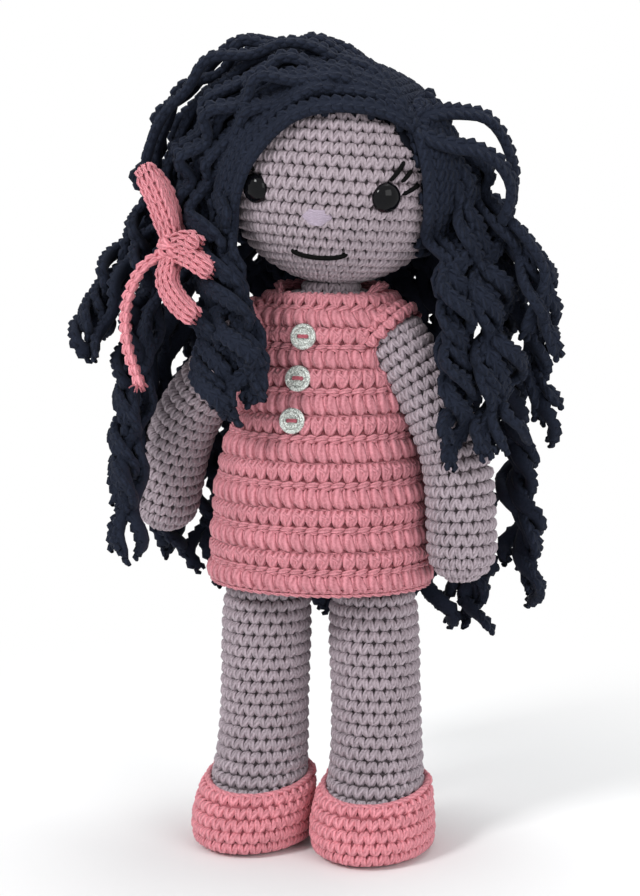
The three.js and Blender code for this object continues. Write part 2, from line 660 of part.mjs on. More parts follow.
const eyeAzimuth = (side) => FACE_AZIMUTH + side * EYE_AZIMUTH;
const eyePlace = (side) => outwards(eyeAzimuth(side), EYE_HEIGHT);

// Wig cap: a shell over the head with a face opening and an open nape
function capForm() {
  const opening = new THREE.CylinderGeometry(1, 1, 2 * HEAD_RADIUS, 20)
    .scale(FACE_OPENING_HALF_WIDTH, 1, FACE_OPENING_HALF_HEIGHT)
    .translate(FACE_OPENING_X, FACE_OPENING_BACK - HEAD_RADIUS, FACE_OPENING_Z);
  const below = new THREE.BoxGeometry(4 * HEAD_RADIUS, 4 * HEAD_RADIUS, 2 * HEAD_RADIUS)
    .translate(0, 0, CAP_BOTTOM - HEAD_RADIUS);
  return cut(headForm(TOUCH + CAP_WALL, 30, 16), headForm(TOUCH), opening, below);
}

// Hair: each lock leaves the parting, lies over the cap, then hangs in waves

/** The route of a lock, in the doll's frame, from its root at the parting to its end. */
function lockRoute(root, rootSeat, rimAzimuth, lift, [endAzimuth, endOut, endZ, standOff]) {
  const head = v3(HEAD_X, 0, HEAD_Z);
  const onCap = (direction, radius, lifted) => {
    const seat = TOUCH + CAP_WALL + lifted;
    const d = direction.clone().normalize();
    const a = HEAD_RADIUS + seat + radius;
    const b = HEAD_HALF_HEIGHT + seat + radius;
    const reach = 1 / Math.sqrt((d.x ** 2 + d.y ** 2) / a ** 2 + d.z ** 2 / b ** 2);
    return d.multiplyScalar(reach).add(head);
  };
  const rim = v3(Math.sin(degToRad(rimAzimuth)), -Math.cos(degToRad(rimAzimuth)), -0.12)
    .multiplyScalar(HEAD_RADIUS);
  const points = [0, 0.1, 0.2, 0.35, 0.5, 0.65, 0.8, 0.9, 1].map((share) => {
    const way = root.clone().lerp(rim, share);
    way.z += lift * HEAD_RADIUS * 4 * share * (1 - share);
    return onCap(way, lerp(ROOT_RADIUS, LOCK_RADIUS, share),
      lerp(rootSeat, LOCK_SEAT, smoothstep(share, 0, 0.3)) + standOff * smoothstep(share, 0.2, 1));
  });
  const rimPoint = points[points.length - 1];
  const rimOut = Math.hypot(rimPoint.x - HEAD_X, rimPoint.y);
  const drop = rimPoint.z - endZ;
  const turns = Math.max(2, Math.round(drop / (WAVE_LENGTH / 4)));
  for (let k = 1; k <= turns; k++) {
    const share = k / turns;
    const z = lerp(rimPoint.z, endZ, share);
    const azimuth = lerp(rimAzimuth, endAzimuth, smoothstep(share, 0, 1));
    const out = lerp(rimOut, endOut, Math.sin((share * Math.PI) / 2));
    const grown = smoothstep(share * drop, 0, WAVE_LENGTH);
    const wave = WAVE_HEIGHT * grown * Math.sin((2 * Math.PI * z) / WAVE_LENGTH);
    const angle = degToRad(azimuth);
    points.push(v3(
      HEAD_X + out * Math.sin(angle) + wave * Math.cos(angle),
      -out * Math.cos(angle) + wave * Math.sin(angle),
      z));
  }
  return new THREE.CatmullRomCurve3(points, false, 'centripetal');
}

const lockRadius = (share) => (share < 0.3
  ? lerp(ROOT_RADIUS, LOCK_RADIUS, share / 0.3)
  : lerp(LOCK_RADIUS, TIP_RADIUS, smoothstep(share, 0.6, 1)));

/** The routes of one side's locks, front first. */
function lockRoutes(side, rims, ends) {
  return ends.map((end, k) => {
    const share = k / (ends.length - 1);
    const root = v3(...PARTING_FRONT).lerp(v3(...PARTING_BACK), share);
    root.x += (side * PARTING_ROWS) / 2;
    const rise = lerp(1, 0.3, share) * lerp(0.45, 1, smoothstep(share, 0, 0.25));
    const rim = lerp(rims[0], rims[1], share);
    return side > 0
      ? lockRoute(root, LEFT_ROOT_SEAT, rim, 0, end)
      : lockRoute(root, RIGHT_ROOT_SEAT, rim, SWEEP * rise, end);
  });
}

/** The bow's knot, where it rests on a lock. */
function bowMiddle(route) {
  const points = route.getSpacedPoints(400);
  const on = points.find((p) => p.z < BOW_Z && p.distanceTo(points[0]) > HEAD_RADIUS);
  const angle = degToRad(BOW_AZIMUTH);
  const out = v3(Math.sin(angle), -Math.cos(angle), 0);
  return on.clone().addScaledVector(out, 0.9 * LOCK_RADIUS + BOW_KNOT_RADIUS);
}

// Buttons, sewn to the front of the dress

/** The outside of the dress's front where a button sits at a height, as a placing matrix. */
function onFront(z) {
  const y = (at) => {
    const [halfWidth, halfDepth] = dressSection(at);
    return -halfDepth * Math.sqrt(1 - (BUTTON_X / halfWidth) ** 2);
  };
  const slope = Math.atan2(y(z + 4) - y(z - 4), 8);
  return new THREE.Matrix4().makeTranslation(neckX(z) + BUTTON_X, y(z) - TOUCH, z)
    .multiply(new THREE.Matrix4().makeRotationX(-slope));
}

/** A flat two-hole button, its back at the origin and its face towards -Y. */
function buttonForm() {
  const edge = 0.5;
  const profile = [[0, 0], [BUTTON_RADIUS - edge, 0], [BUTTON_RADIUS, edge],
    [BUTTON_RADIUS, BUTTON_THICKNESS - edge], [BUTTON_RADIUS - edge, BUTTON_THICKNESS],
    [BUTTON_RADIUS - 1.6, BUTTON_THICKNESS], [BUTTON_RADIUS - 2.1, BUTTON_THICKNESS - 0.5],
    [0, BUTTON_THICKNESS - 0.5]].map(([r, h]) => new THREE.Vector2(r, h));
  const disc = new THREE.LatheGeometry(profile, 16).rotateX(Math.PI);
  const holes = [1, -1].map((side) => new THREE.CylinderGeometry(
    BUTTON_HOLE_RADIUS, BUTTON_HOLE_RADIUS, 4 * BUTTON_THICKNESS, 6)
    .translate((side * BUTTON_HOLE_APART) / 2, 0, 0));
  return cut(disc, ...holes);
}

/** The thread bar that runs from hole to hole over a button's face. */
function buttonThreadForm() {
  const x = BUTTON_HOLE_APART / 2;
  const face = -(BUTTON_THICKNESS - 0.5 + TOUCH + BUTTON_THREAD_RADIUS);
  const deep = -0.3;
  const way = new THREE.CatmullRomCurve3([v3(-x, deep, 0), v3(-x, face + 0.3, 0), v3(-x * 0.6, face, 0),
    v3(x * 0.6, face, 0), v3(x, face + 0.3, 0), v3(x, deep, 0)], false, 'centripetal');
  return tube(way, () => BUTTON_THREAD_RADIUS, 5, 7);
}

/** The nose: satin stitches laid side by side into a small oval pad. */
function noseForm() {
  const thickness = 1;
  return ball(1, 1, 12, 6).scale(NOSE_HALF_WIDTH, thickness, NOSE_HALF_HEIGHT)
    .translate(0, -thickness - TOUCH, 0)
    .applyMatrix4(outwards(FACE_AZIMUTH, NOSE_HEIGHT));
}

// Assembly

const limbRoom = (clearance) => [1, -1]
  .flatMap((side) => [armSocket(side, clearance), hipRoom(side, clearance)]);
piece('torso_cover', 'skin', cut(torsoForm(0, 22), torsoForm(-SKIN_WALL, 12, NECK_TOP_Z + 3),
  ...limbRoom(TOUCH)));
piece('torso_filling', 'filling', cut(torsoForm(-SKIN_WALL - TOUCH, 12, NECK_TOP_Z - 1),
  ...limbRoom(2 * TOUCH)));
piece('dress', 'dress', cut(dressBody(), armhole(1), armhole(-1)));

for (const side of [1, -1]) {
  const name = side > 0 ? 'left' : 'right';
  const armSeam = new THREE.CylinderGeometry(SEAM_RADIUS, SEAM_RADIUS, 2 * SHOULDER_RADIUS, 10)
    .rotateX(Math.PI / 2).translate(armCurve.points[0].x, 0, armCurve.points[0].z);
  const armCover = cut(armForm(0), armForm(-SKIN_WALL, 9, 5), armSeam);
  piece(`${name}_arm_cover`, 'skin', placed(armCover, armPlace(side, 0)));
  piece(`${name}_arm_filling`, 'filling',
    placed(armForm(-SKIN_WALL - TOUCH, 9, 5), armPlace(side, 0)));

  const hipSeam = new THREE.CylinderGeometry(SEAM_RADIUS, SEAM_RADIUS, 2 * HIP_RADIUS, 10)
    .rotateX(Math.PI / 2).translate(0, 0, HIP_Z + HIP_RADIUS);
  const legCover = cut(legForm(0, 16, LEG_HEIGHTS), legForm(-SKIN_WALL, 10, LEG_HEIGHTS), hipSeam);
  const legPlace = new THREE.Matrix4().makeTranslation(side * HIP_X, 0, 0)
    .multiply(new THREE.Matrix4().makeScale(side, 1, 1));
  piece(`${name}_leg_cover`, 'skin', placed(legCover, legPlace));
  piece(`${name}_leg_filling`, 'filling',
    placed(legForm(-SKIN_WALL - TOUCH, 10, LEG_HEIGHTS), legPlace));
  piece(`${name}_shoe`, 'pink', placed(shoeForm(), legPlace));
}

const headShell = cut(headForm(0), headForm(-SKIN_WALL, 16, 10),
  new THREE.CylinderGeometry(NECK_HOLE_RADIUS, NECK_HOLE_RADIUS, 2 * HEAD_HALF_HEIGHT, 16)
    .rotateX(Math.PI / 2).translate(0, 0, -HEAD_HALF_HEIGHT),
  ...[1, -1].map((side) => new THREE.CylinderGeometry(SHANK_RADIUS + TOUCH, SHANK_RADIUS + TOUCH, 14, 12)
    .applyMatrix4(eyePlace(side))));
piece('head_cover', 'skin', headShell, headFrame);
const washerRoom = [1, -1].map((side) => new THREE.CylinderGeometry(WASHER_RADIUS + TOUCH,
  WASHER_RADIUS + TOUCH, 2 * SHANK_LENGTH + 2 * TOUCH, 14)
  .applyMatrix4(eyePlace(side)));
piece('head_filling', 'filling', cut(headForm(-SKIN_WALL - TOUCH, 16, 10), ...washerRoom), headFrame);

for (const side of [1, -1]) {
  const name = side > 0 ? 'left' : 'right';
  const place = eyePlace(side);
  piece(`${name}_eye`, 'eye', eyeForm().applyMatrix4(place), headFrame);
  piece(`${name}_eye_washer`, 'washer', washerForm().applyMatrix4(place), headFrame);
  LASHES.forEach(({ from, to }, k) => {
    const points = [from, to].map(([x, z]) => onFace(eyeAzimuth(side), EYE_HEIGHT, side * x, z,
      THREAD_RADIUS + LASH_SEAT));
    piece(`${name}_lash_${k + 1}`, 'thread', stitch(points, THREAD_RADIUS, 1, 5), headFrame);
  });
}

piece('wig_cap', 'hair', capForm(), headFrame);
piece('nose_stitches', 'nose', noseForm(), headFrame);
const mouth = [-1, -0.5, 0, 0.5, 1].map((share) => onFace(FACE_AZIMUTH, MOUTH_HEIGHT,
  share * MOUTH_HALF_WIDTH, -MOUTH_SAG * (1 - share ** 2), THREAD_RADIUS + TOUCH));
piece('mouth_stitch', 'thread', stitch(mouth, THREAD_RADIUS, 6, 5), headFrame);

for (const [k, name] of ['top', 'middle', 'bottom'].entries()) {
  const z = BUTTON_TOP_Z - k * BUTTON_SPACING;
  piece(`button_${name}`, 'button', placed(buttonForm(), onFront(z)));
  piece(`button_thread_${name}`, 'dress', placed(buttonThreadForm(), onFront(z)));
}

lockRoutes(1, LEFT_RIM, LEFT_ENDS).forEach((route, k) => {
  piece(`hair_left_${k + 1}`, 'hair', tube(route, lockRadius, 5, 15));
});
lockRoutes(-1, RIGHT_RIM, RIGHT_ENDS).forEach((route, k) => {
  piece(`hair_right_${k + 1}`, 'hair', tube(route, lockRadius, 5, 15));
});

const knot = bowMiddle(lockRoutes(-1, RIGHT_RIM, RIGHT_ENDS)[1]);
piece('bow_knot', 'pink', ball(BOW_KNOT_RADIUS, BOW_KNOT_RADIUS * 1.15, 12, 8)
  .translate(knot.x, knot.y, knot.z));
for (const [name, offsets] of Object.entries(BOW_LOOPS)) {
  const way = new THREE.CatmullRomCurve3(offsets.map((offset) => v3(...offset).add(knot)));
  piece(`bow_${name}`, 'pink', tube(way, () => BOW_CORD_RADIUS, 6, 2 * offsets.length));
}

export default doll;
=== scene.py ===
import logging
import math
from contextlib import contextmanager
from dataclasses import dataclass, field
from enum import Enum
from functools import cache, partial
from typing import Callable, Iterable, Iterator, Sequence

import bmesh
import bpy
import numpy as np
from mathutils import Matrix, Vector
from mathutils.bvhtree import BVHTree


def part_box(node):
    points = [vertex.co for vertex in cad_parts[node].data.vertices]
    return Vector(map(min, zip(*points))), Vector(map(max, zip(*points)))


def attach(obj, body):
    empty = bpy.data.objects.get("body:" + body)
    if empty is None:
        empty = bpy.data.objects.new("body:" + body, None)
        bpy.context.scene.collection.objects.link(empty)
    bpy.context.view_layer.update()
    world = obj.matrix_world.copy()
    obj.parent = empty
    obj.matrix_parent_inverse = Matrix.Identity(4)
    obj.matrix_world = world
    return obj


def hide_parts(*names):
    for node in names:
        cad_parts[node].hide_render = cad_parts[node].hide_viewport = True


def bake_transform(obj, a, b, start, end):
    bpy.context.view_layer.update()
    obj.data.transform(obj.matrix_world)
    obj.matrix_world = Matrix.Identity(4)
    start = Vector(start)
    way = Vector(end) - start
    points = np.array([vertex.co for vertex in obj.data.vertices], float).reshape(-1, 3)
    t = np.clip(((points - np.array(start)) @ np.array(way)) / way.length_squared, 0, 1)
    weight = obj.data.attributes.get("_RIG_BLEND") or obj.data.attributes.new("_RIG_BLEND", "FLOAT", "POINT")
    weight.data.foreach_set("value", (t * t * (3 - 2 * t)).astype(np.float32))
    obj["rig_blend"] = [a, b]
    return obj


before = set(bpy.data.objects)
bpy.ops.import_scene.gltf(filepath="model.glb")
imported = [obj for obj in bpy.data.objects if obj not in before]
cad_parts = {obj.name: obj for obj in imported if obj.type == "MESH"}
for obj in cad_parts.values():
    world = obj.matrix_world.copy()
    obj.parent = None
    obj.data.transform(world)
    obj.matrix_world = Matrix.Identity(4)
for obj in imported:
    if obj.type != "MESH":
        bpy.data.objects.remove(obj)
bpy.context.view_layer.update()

LOG = logging.getLogger("crochet_doll")
MM = 0.001
STAND = np.array([-1.0, -6.0, 0.0])      # where the doll's own axis stands, in millimetres
LEFT, RIGHT = 1, -1                      # the doll's own sides; its left is +X
SIDES = {LEFT: "left", RIGHT: "right"}
Array = np.ndarray
Inputs = dict[str | int, object]


# Small helpers


def unit(vectors: Array) -> Array:
    """Scales vectors, along the last axis, to length one."""
    return vectors / np.maximum(np.linalg.norm(vectors, axis=-1, keepdims=True), 1e-9)


def smooth(value: Array | float, low: float, high: float) -> Array | float:
    """Eases from 0 at low to 1 at high."""
    t = np.clip((np.asarray(value, float) - low) / (high - low), 0, 1)
    return t * t * (3 - 2 * t)


def section(rows: Sequence[Sequence[float]]) -> Callable[[float], Array]:
    """A smooth curve through rows of a position and values.

    Args:
        rows: the rows, in rising position.
    Returns:
        A function from a position to the values there.
    """
    table = np.array(rows, float)

    def at(position: float) -> Array:
        """The values at a position, held at both ends of the rows."""
        k = int(np.clip(np.searchsorted(table[:, 0], position) - 1, 0, len(table) - 2))
        low, high = table[k], table[k + 1]
        before, after = table[max(0, k - 1)], table[min(len(table) - 1, k + 2)]
        step = high[0] - low[0]
        t = float(np.clip((position - low[0]) / step, 0, 1))
        slope_in = (high[1:] - before[1:]) / (high[0] - before[0]) * step
        slope_out = (after[1:] - low[1:]) / (after[0] - low[0]) * step
        return (low[1:] * (2 * t**3 - 3 * t**2 + 1) + high[1:] * (3 * t**2 - 2 * t**3)
                + slope_in * (t**3 - 2 * t**2 + t) + slope_out * (t**3 - t**2))

    return at


def smooth_line(points: Array, step: float) -> Array:
    """A smooth line through points, with its points at even spaces.

    Args:
        points: the points to pass through.
        step: the space between the points of the line.
    Returns:
        The line's points.
    """
    p = np.asarray(points, float)
    p = np.vstack([2 * p[0] - p[1], p, 2 * p[-1] - p[-2]])
    fine = []
    for a, b, c, d in zip(p[:-3], p[1:-2], p[2:-1], p[3:]):
        for t in np.linspace(0, 1, 12, endpoint=False):
            fine.append(0.5 * (2 * b + (c - a) * t + (2 * a - 5 * b + 4 * c - d) * t**2
                               + (3 * b - a - 3 * c + d) * t**3))
    fine.append(p[-2])
    line = np.array(fine)
    length = stations(line)
    count = max(2, int(round(length[-1] / step)) + 1)
    return read_at(np.linspace(0, length[-1], count), length, line)


def line_frames(line: Array, outward: Array) -> tuple[Array, Array]:
    """The direction along a line and the outward direction square to it, at each point.

    Args:
        line: the points of the line.
        outward: about which way the line faces, one vector or one for each point.
    Returns:
        The directions along it and the outward directions.
    """
    along = unit(np.gradient(line, axis=0))
    out = np.broadcast_to(outward, line.shape).astype(float)
    out = unit(out - along * np.sum(out * along, axis=1, keepdims=True))
    return along, out


def stations(line: Array) -> Array:
    """The length along a line, at each of its points."""
    return np.concatenate([[0], np.cumsum(np.linalg.norm(np.diff(line, axis=0), axis=1))])


def read_at(where: Array, station: Array, values: Array) -> Array:
    """Reads vectors, given at the stations of a line, at the lengths in where."""
    return np.stack([np.interp(where, station, values[:, k]) for k in range(3)], axis=1)


def closed(line: Array) -> Array:
    """A line with its first point once more at its end."""
    return np.vstack([line, line[:1]])


def turns(count: int) -> Array:
    """Even angles once round, in radians."""
    return np.linspace(0, 2 * math.pi, count, endpoint=False)


def linked(name: str, data: bpy.types.ID) -> bpy.types.Object:
    """Puts a new object into the scene.

    Args:
        name: the object's name.
        data: its mesh, lamp or camera.
    Returns:
        The object.
    """
    made = bpy.data.objects.new(name, data)
    bpy.context.scene.collection.objects.link(made)
    return made


@contextmanager
def shaping(mesh: bpy.types.Mesh, start: bpy.types.Mesh | None = None) -> Iterator[bmesh.types.BMesh]:
    """Opens a mesh for shaping and writes it at the end.

    Args:
        mesh: the mesh that is written.
        start: the mesh to start from, or none to start from nothing.
    Returns:
        The open mesh.
    """
    work = bmesh.new()
    if start:
        work.from_mesh(start)
    yield work
    work.to_mesh(mesh)
    work.free()


# Nodes


def set_inputs(node: bpy.types.Node, inputs: Inputs) -> None:
    """Gives a node's inputs their values, or links them.

    Args:
        node: the node.
        inputs: a value or a socket for each input, by its name or its number.
    """
    for key, value in inputs.items():
        if isinstance(value, bpy.types.NodeSocket):
            node.id_data.links.new(value, node.inputs[key])
        else:
            node.inputs[key].default_value = value


def add_node(tree: bpy.types.NodeTree, kind: str, inputs: Inputs | None = None,
             **settings: object) -> bpy.types.Node:
    """Adds a node.

    Args:
        tree: the tree that it goes in.
        kind: the node's type.
        inputs: a value or a socket for each input, by its name or its number.
        settings: its other properties, which are set first.
    Returns:
        The node.
    """
    node = tree.nodes.new(kind)
    for name, value in settings.items():
        setattr(node, name, value)
    set_inputs(node, inputs or {})
    return node


def math_node(tree: bpy.types.NodeTree, operation: str, *values: object) -> bpy.types.NodeSocket:
    """Adds a math node with a number or a socket for each input, and gives its output."""
    return add_node(tree, "ShaderNodeMath", dict(enumerate(values)), operation=operation).outputs[0]


def noise_node(tree: bpy.types.NodeTree, scale: float, detail: float = 2.0) -> bpy.types.NodeSocket:
    """Adds a noise over the object.

    Args:
        tree: the tree that it goes in.
        scale: how fine it is.
        detail: how many finer noises are in it.
    Returns:
        Its output.
    """
    place = add_node(tree, "ShaderNodeTexCoord").outputs["Object"]
    return add_node(tree, "ShaderNodeTexNoise",
                    {"Vector": place, "Scale": scale, "Detail": detail}).outputs["Fac"]


def bump_node(tree: bpy.types.NodeTree, height: bpy.types.NodeSocket, distance: float,
              strength: object = 1.0) -> bpy.types.NodeSocket:
    """Adds a bump, its distance in millimetres, and gives its normal."""
    return add_node(tree, "ShaderNodeBump", {
        "Height": height, "Distance": distance * MM, "Strength": strength}).outputs["Normal"]


def new_tree(name: str, kind: str, inputs: dict[str, str], outputs: dict[str, str]) -> tuple:
    """A new node group.

    Args:
        name: the group's name.
        kind: the tree's type.
        inputs: the kind of each input.
        outputs: the kind of each output.
    Returns:
        The tree, the sockets that bring its inputs, and its output node.
    """
    tree = bpy.data.node_groups.new(name, kind)
    for way, sockets in (("INPUT", inputs), ("OUTPUT", outputs)):
        for title, socket in sockets.items():
            tree.interface.new_socket(title, in_out=way, socket_type=f"NodeSocket{socket}")
    return tree, add_node(tree, "NodeGroupInput").outputs, add_node(tree, "NodeGroupOutput")


def new_material(name: str, inputs: Inputs) -> tuple:
    """A new material.

    Args:
        name: the material's name.
        inputs: values of its shader's inputs.
    Returns:
        The material, its tree and its shader.
    """
    material = bpy.data.materials.new(name)
    material.use_nodes = True
    shader = material.node_tree.nodes["Principled BSDF"]
    set_inputs(shader, inputs)
    return material, material.node_tree, shader


# Yarns and hardware


@dataclass(frozen=True)
class Yarn:
    """A cotton yarn: its colour where it is lit and its painted shade in its hollows, and how it is spun.

    Its plies wind round once in each pitch, in millimetres. Depth darkens the shaded colour further for the
    ground behind it, as more painted shade.
    """

    name: str
    slot: str
    lit: tuple[float, float, float]
    shaded: tuple[float, float, float]
    sheen: float = 0.12
    plies: float = 4.0
    pitch: float = 5.6
    relief: float = 0.9
    gloss: float = 0.3
    roughness: float = 0.88
    fuzz: float = 0.45
    depth: float = 0.55

    @cache
    def material(self, ground: bool = False) -> bpy.types.Material:
        """Makes the yarn's material, once.

        Args:
            ground: True for the cloth behind the stitches, which is in their shade.
        Returns:
            The material.
        """
        lit, shade, sheen, use = self.lit, self.shaded, self.sheen, "spun"
        # painted shade: the ground behind the stitches takes the shaded colour, darkened further by depth
        if ground:
            lit, shade, sheen, use = self.shaded, [self.depth * c for c in self.shaded], 0.0, "ground"
        material, tree, shader = new_material(f"{self.name}_{use}", {
            "Roughness": self.roughness, "Sheen Weight": sheen, "Sheen Roughness": self.fuzz,
            "Specular IOR Level": self.gloss})
        spun = add_node(tree, "ShaderNodeGroup", {
            "Lit": (*lit, 1), "Shaded": (*shade, 1), "Plies": self.plies, "Pitch": self.pitch,
            "Relief": self.relief}, node_tree=yarn_group()).outputs
        set_inputs(shader, {"Base Color": spun["Color"], "Normal": spun["Normal"]})
        return material


@cache
def yarn_group() -> bpy.types.NodeTree:
    """The look of spun yarn: plies that wind round it, loose fibres and uneven dye, with painted shade in
    the grooves between plies and deep in each stitch.

    Returns:
        The node group, made once.
    """
    tree, given, out = new_tree(
        "spun_yarn", "ShaderNodeTree",
        {"Lit": "Color", "Shaded": "Color", "Plies": "Float", "Pitch": "Float", "Relief": "Float"},
        {"Color": "Color", "Normal": "Vector"})
    do, add = partial(math_node, tree), partial(add_node, tree)
    yarn, tint, deep = (add("ShaderNodeAttribute", attribute_name=name).outputs
                        for name in ("yarn", "tint", "deep"))
    split = add("ShaderNodeSeparateXYZ", {0: yarn["Vector"]}).outputs
    turned = do("ADD", do("DIVIDE", split[0], given["Pitch"]), do("MULTIPLY", split[1], given["Plies"]))
    wave = do("SINE", do("MULTIPLY", turned, 2 * math.pi))
    ply = do("POWER", do("MULTIPLY_ADD", wave, 0.5, 0.5), 0.75)
    coarse, fine, dyed = (noise_node(tree, *way) for way in ((1100.0, 3.0), (2600.0, 2.0), (45.0, 2.0)))
    fibre = do("ADD", do("MULTIPLY", coarse, 0.6), do("MULTIPLY", fine, 0.4))
    # painted shade: the grooves between plies and the parts that lie deep in a stitch (deep) mix towards the
    # shaded colour; the fibre noise is random tone
    shade = do("MULTIPLY_ADD", ply, 0.5, do("MULTIPLY", fibre, 1.7))
    shade = do("SUBTRACT", do("SUBTRACT", shade, 0.45), deep["Fac"])
    shade.node.use_clamp = True
    mix = add("ShaderNodeMix", {"Factor": shade, 6: given["Shaded"], 7: given["Lit"]}, data_type="RGBA")
    value = do("ADD", do("MULTIPLY_ADD", dyed, 0.24, 0.88), do("MULTIPLY", tint["Fac"], 0.06))
    colour = add("ShaderNodeHueSaturation", {"Value": value, "Color": mix.outputs[2]})
    height = do("ADD", do("MULTIPLY", ply, 0.65), do("MULTIPLY", fibre, 0.5))
    set_inputs(out, {"Color": colour.outputs["Color"],
                     "Normal": bump_node(tree, height, 0.45, given["Relief"])})
    return tree


# each yarn's colours: where it is lit, then its painted shade in the hollows
SKIN = Yarn("skin_yarn", "skin_yarn", (0.468, 0.392, 0.435), (0.135, 0.106, 0.117))
HAIR = Yarn("hair_yarn", "hair_yarn", (0.0165, 0.0212, 0.037), (0.0065, 0.008, 0.0135), sheen=0.02,
            gloss=0.1)
ROSE = Yarn("dress_yarn", "dress_yarn", (0.70, 0.285, 0.33), (0.29, 0.082, 0.098))
PINK = Yarn("pink_yarn", "pink_yarn", (0.83, 0.325, 0.372), (0.40, 0.11, 0.135))
LILAC = Yarn("nose_yarn", "nose_yarn", (0.60, 0.52, 0.62), (0.40, 0.33, 0.41), pitch=3.0, relief=0.3)
BLACK = Yarn("black_thread", "black_thread", (0.006, 0.006, 0.0065), (0.003, 0.003, 0.003),
             sheen=0.0, pitch=2.5, relief=0.3, gloss=0.08)
SEWING = Yarn("sewing_thread", "sewing_thread", (0.80, 0.26, 0.31), (0.40, 0.09, 0.12), pitch=2.0,
              relief=0.3)


@dataclass(frozen=True)
class EyeGloss:
    """Glossy black plastic with the faint haze of handling."""

    black: tuple[float, ...] = (0.003, 0.003, 0.004, 1)
    gloss: float = 0.14
    smoothest: float = 0.03
    haziest: float = 0.11
    haze_scale: float = 260.0

    def material(self) -> bpy.types.Material:
        """Makes the material.

        Returns:
            The material.
        """
        material, tree, shader = new_material("eye_gloss", {
            "Roughness": 0.05, "Base Color": self.black, "Specular IOR Level": self.gloss})
        haze = add_node(tree, "ShaderNodeMapRange", {
            "Value": noise_node(tree, self.haze_scale, 5.0), "From Min": 0.3, "From Max": 0.8,
            "To Min": self.smoothest, "To Max": self.haziest})
        set_inputs(shader, {"Roughness": haze.outputs["Result"]})
        return material


@dataclass(frozen=True)
class Glitter:
    """Clear plastic filled with silver flakes."""

    dark: tuple[float, ...] = (0.22, 0.24, 0.22, 1)
    usual: tuple[float, ...] = (0.55, 0.59, 0.55, 1)
    bright: tuple[float, ...] = (0.95, 1.0, 0.95, 1)
    flake_scale: float = 2600.0
    metal: float = 0.7

    def material(self) -> bpy.types.Material:
        """Makes the material.

        Returns:
            The material.
        """
        material, tree, shader = new_material("button_glitter", {
            "Roughness": 0.28, "Coat Weight": 0.5, "Coat Roughness": 0.1})
        place = add_node(tree, "ShaderNodeTexCoord").outputs["Object"]
        flakes = add_node(tree, "ShaderNodeTexVoronoi", {"Scale": self.flake_scale, "Vector": place})
        one = add_node(tree, "ShaderNodeSeparateColor", {0: flakes.outputs["Color"]}).outputs
        ramp = add_node(tree, "ShaderNodeValToRGB", {"Fac": one[0]})
        ramp.color_ramp.elements[0].color = self.dark
        ramp.color_ramp.elements[1].color = self.bright
        ramp.color_ramp.elements.new(0.55).color = self.usual
        metal = add_node(tree, "ShaderNodeMapRange", {"Value": one[1], "To Max": self.metal})
        set_inputs(shader, {"Base Color": ramp.outputs["Color"], "Metallic": metal.outputs["Result"],
                            "Normal": bump_node(tree, one[2], 0.12, 0.8)})
        return material


@dataclass(frozen=True)
class MouldedWhite:
    """White moulded plastic with a fine grain."""

    white: tuple[float, ...] = (0.8, 0.8, 0.78, 1)
    grain_scale: float = 1500.0

    def material(self) -> bpy.types.Material:
        """Makes the material.

        Returns:
            The material.
        """
        material, tree, shader = new_material("washer_white", {
            "Roughness": 0.5, "Base Color": self.white})
        set_inputs(shader, {"Normal": bump_node(tree, noise_node(tree, self.grain_scale), 0.05)})
        return material


# Stitches


class Stitch(Enum):
    """The stitches that the doll is made of."""

    SINGLE = "single"
    POST = "post"
    LEANING_POST = "leaning_post"
    CHAIN = "chain"
    LINK = "link"
    FLAT_LINK = "flat_link"
    BAR = "bar"


@dataclass(frozen=True)
class Strand:
    """One strand of yarn inside a stitch: the points that it passes and its radius at each."""

    points: tuple[tuple[float, float, float], ...]
    radii: tuple[float, ...]

    def mirrored(self) -> "Strand":
        """The same strand on the stitch's other side."""
        return Strand(tuple((-x, y, z) for x, y, z in self.points), self.radii)


LEG = Strand(((-0.35, -0.9, -2.3), (-0.55, 0.5, -1.5), (-1.0, 1.0, -0.3), (-1.35, 0.85, 0.9),
              (-1.4, -0.5, 1.95)), (0.95, 1.25, 1.4, 1.4, 1.1))
POST_LEG = Strand(((-0.25, -1.3, -3.4), (-0.5, 0.2, -2.4), (-1.05, 1.15, -0.5), (-1.3, 1.25, 1.3),
                   (-1.3, 0.1, 3.1)), (0.75, 1.1, 1.5, 1.65, 1.2))
LINK_SIDE = Strand(((-0.3, -0.6, -3.4), (-1.1, 0.9, -1.6), (-1.7, 1.1, 0.5), (-0.9, -0.3, 2.9)),
                   (0.9, 1.45, 1.55, 0.9))
FLAT_SIDE = Strand(((-0.5, 0.0, -3.0), (-1.6, 0.75, -1.4), (-2.35, 0.7, 0.5), (-1.5, -0.1, 2.5)),
                   (0.9, 1.35, 1.45, 0.9))
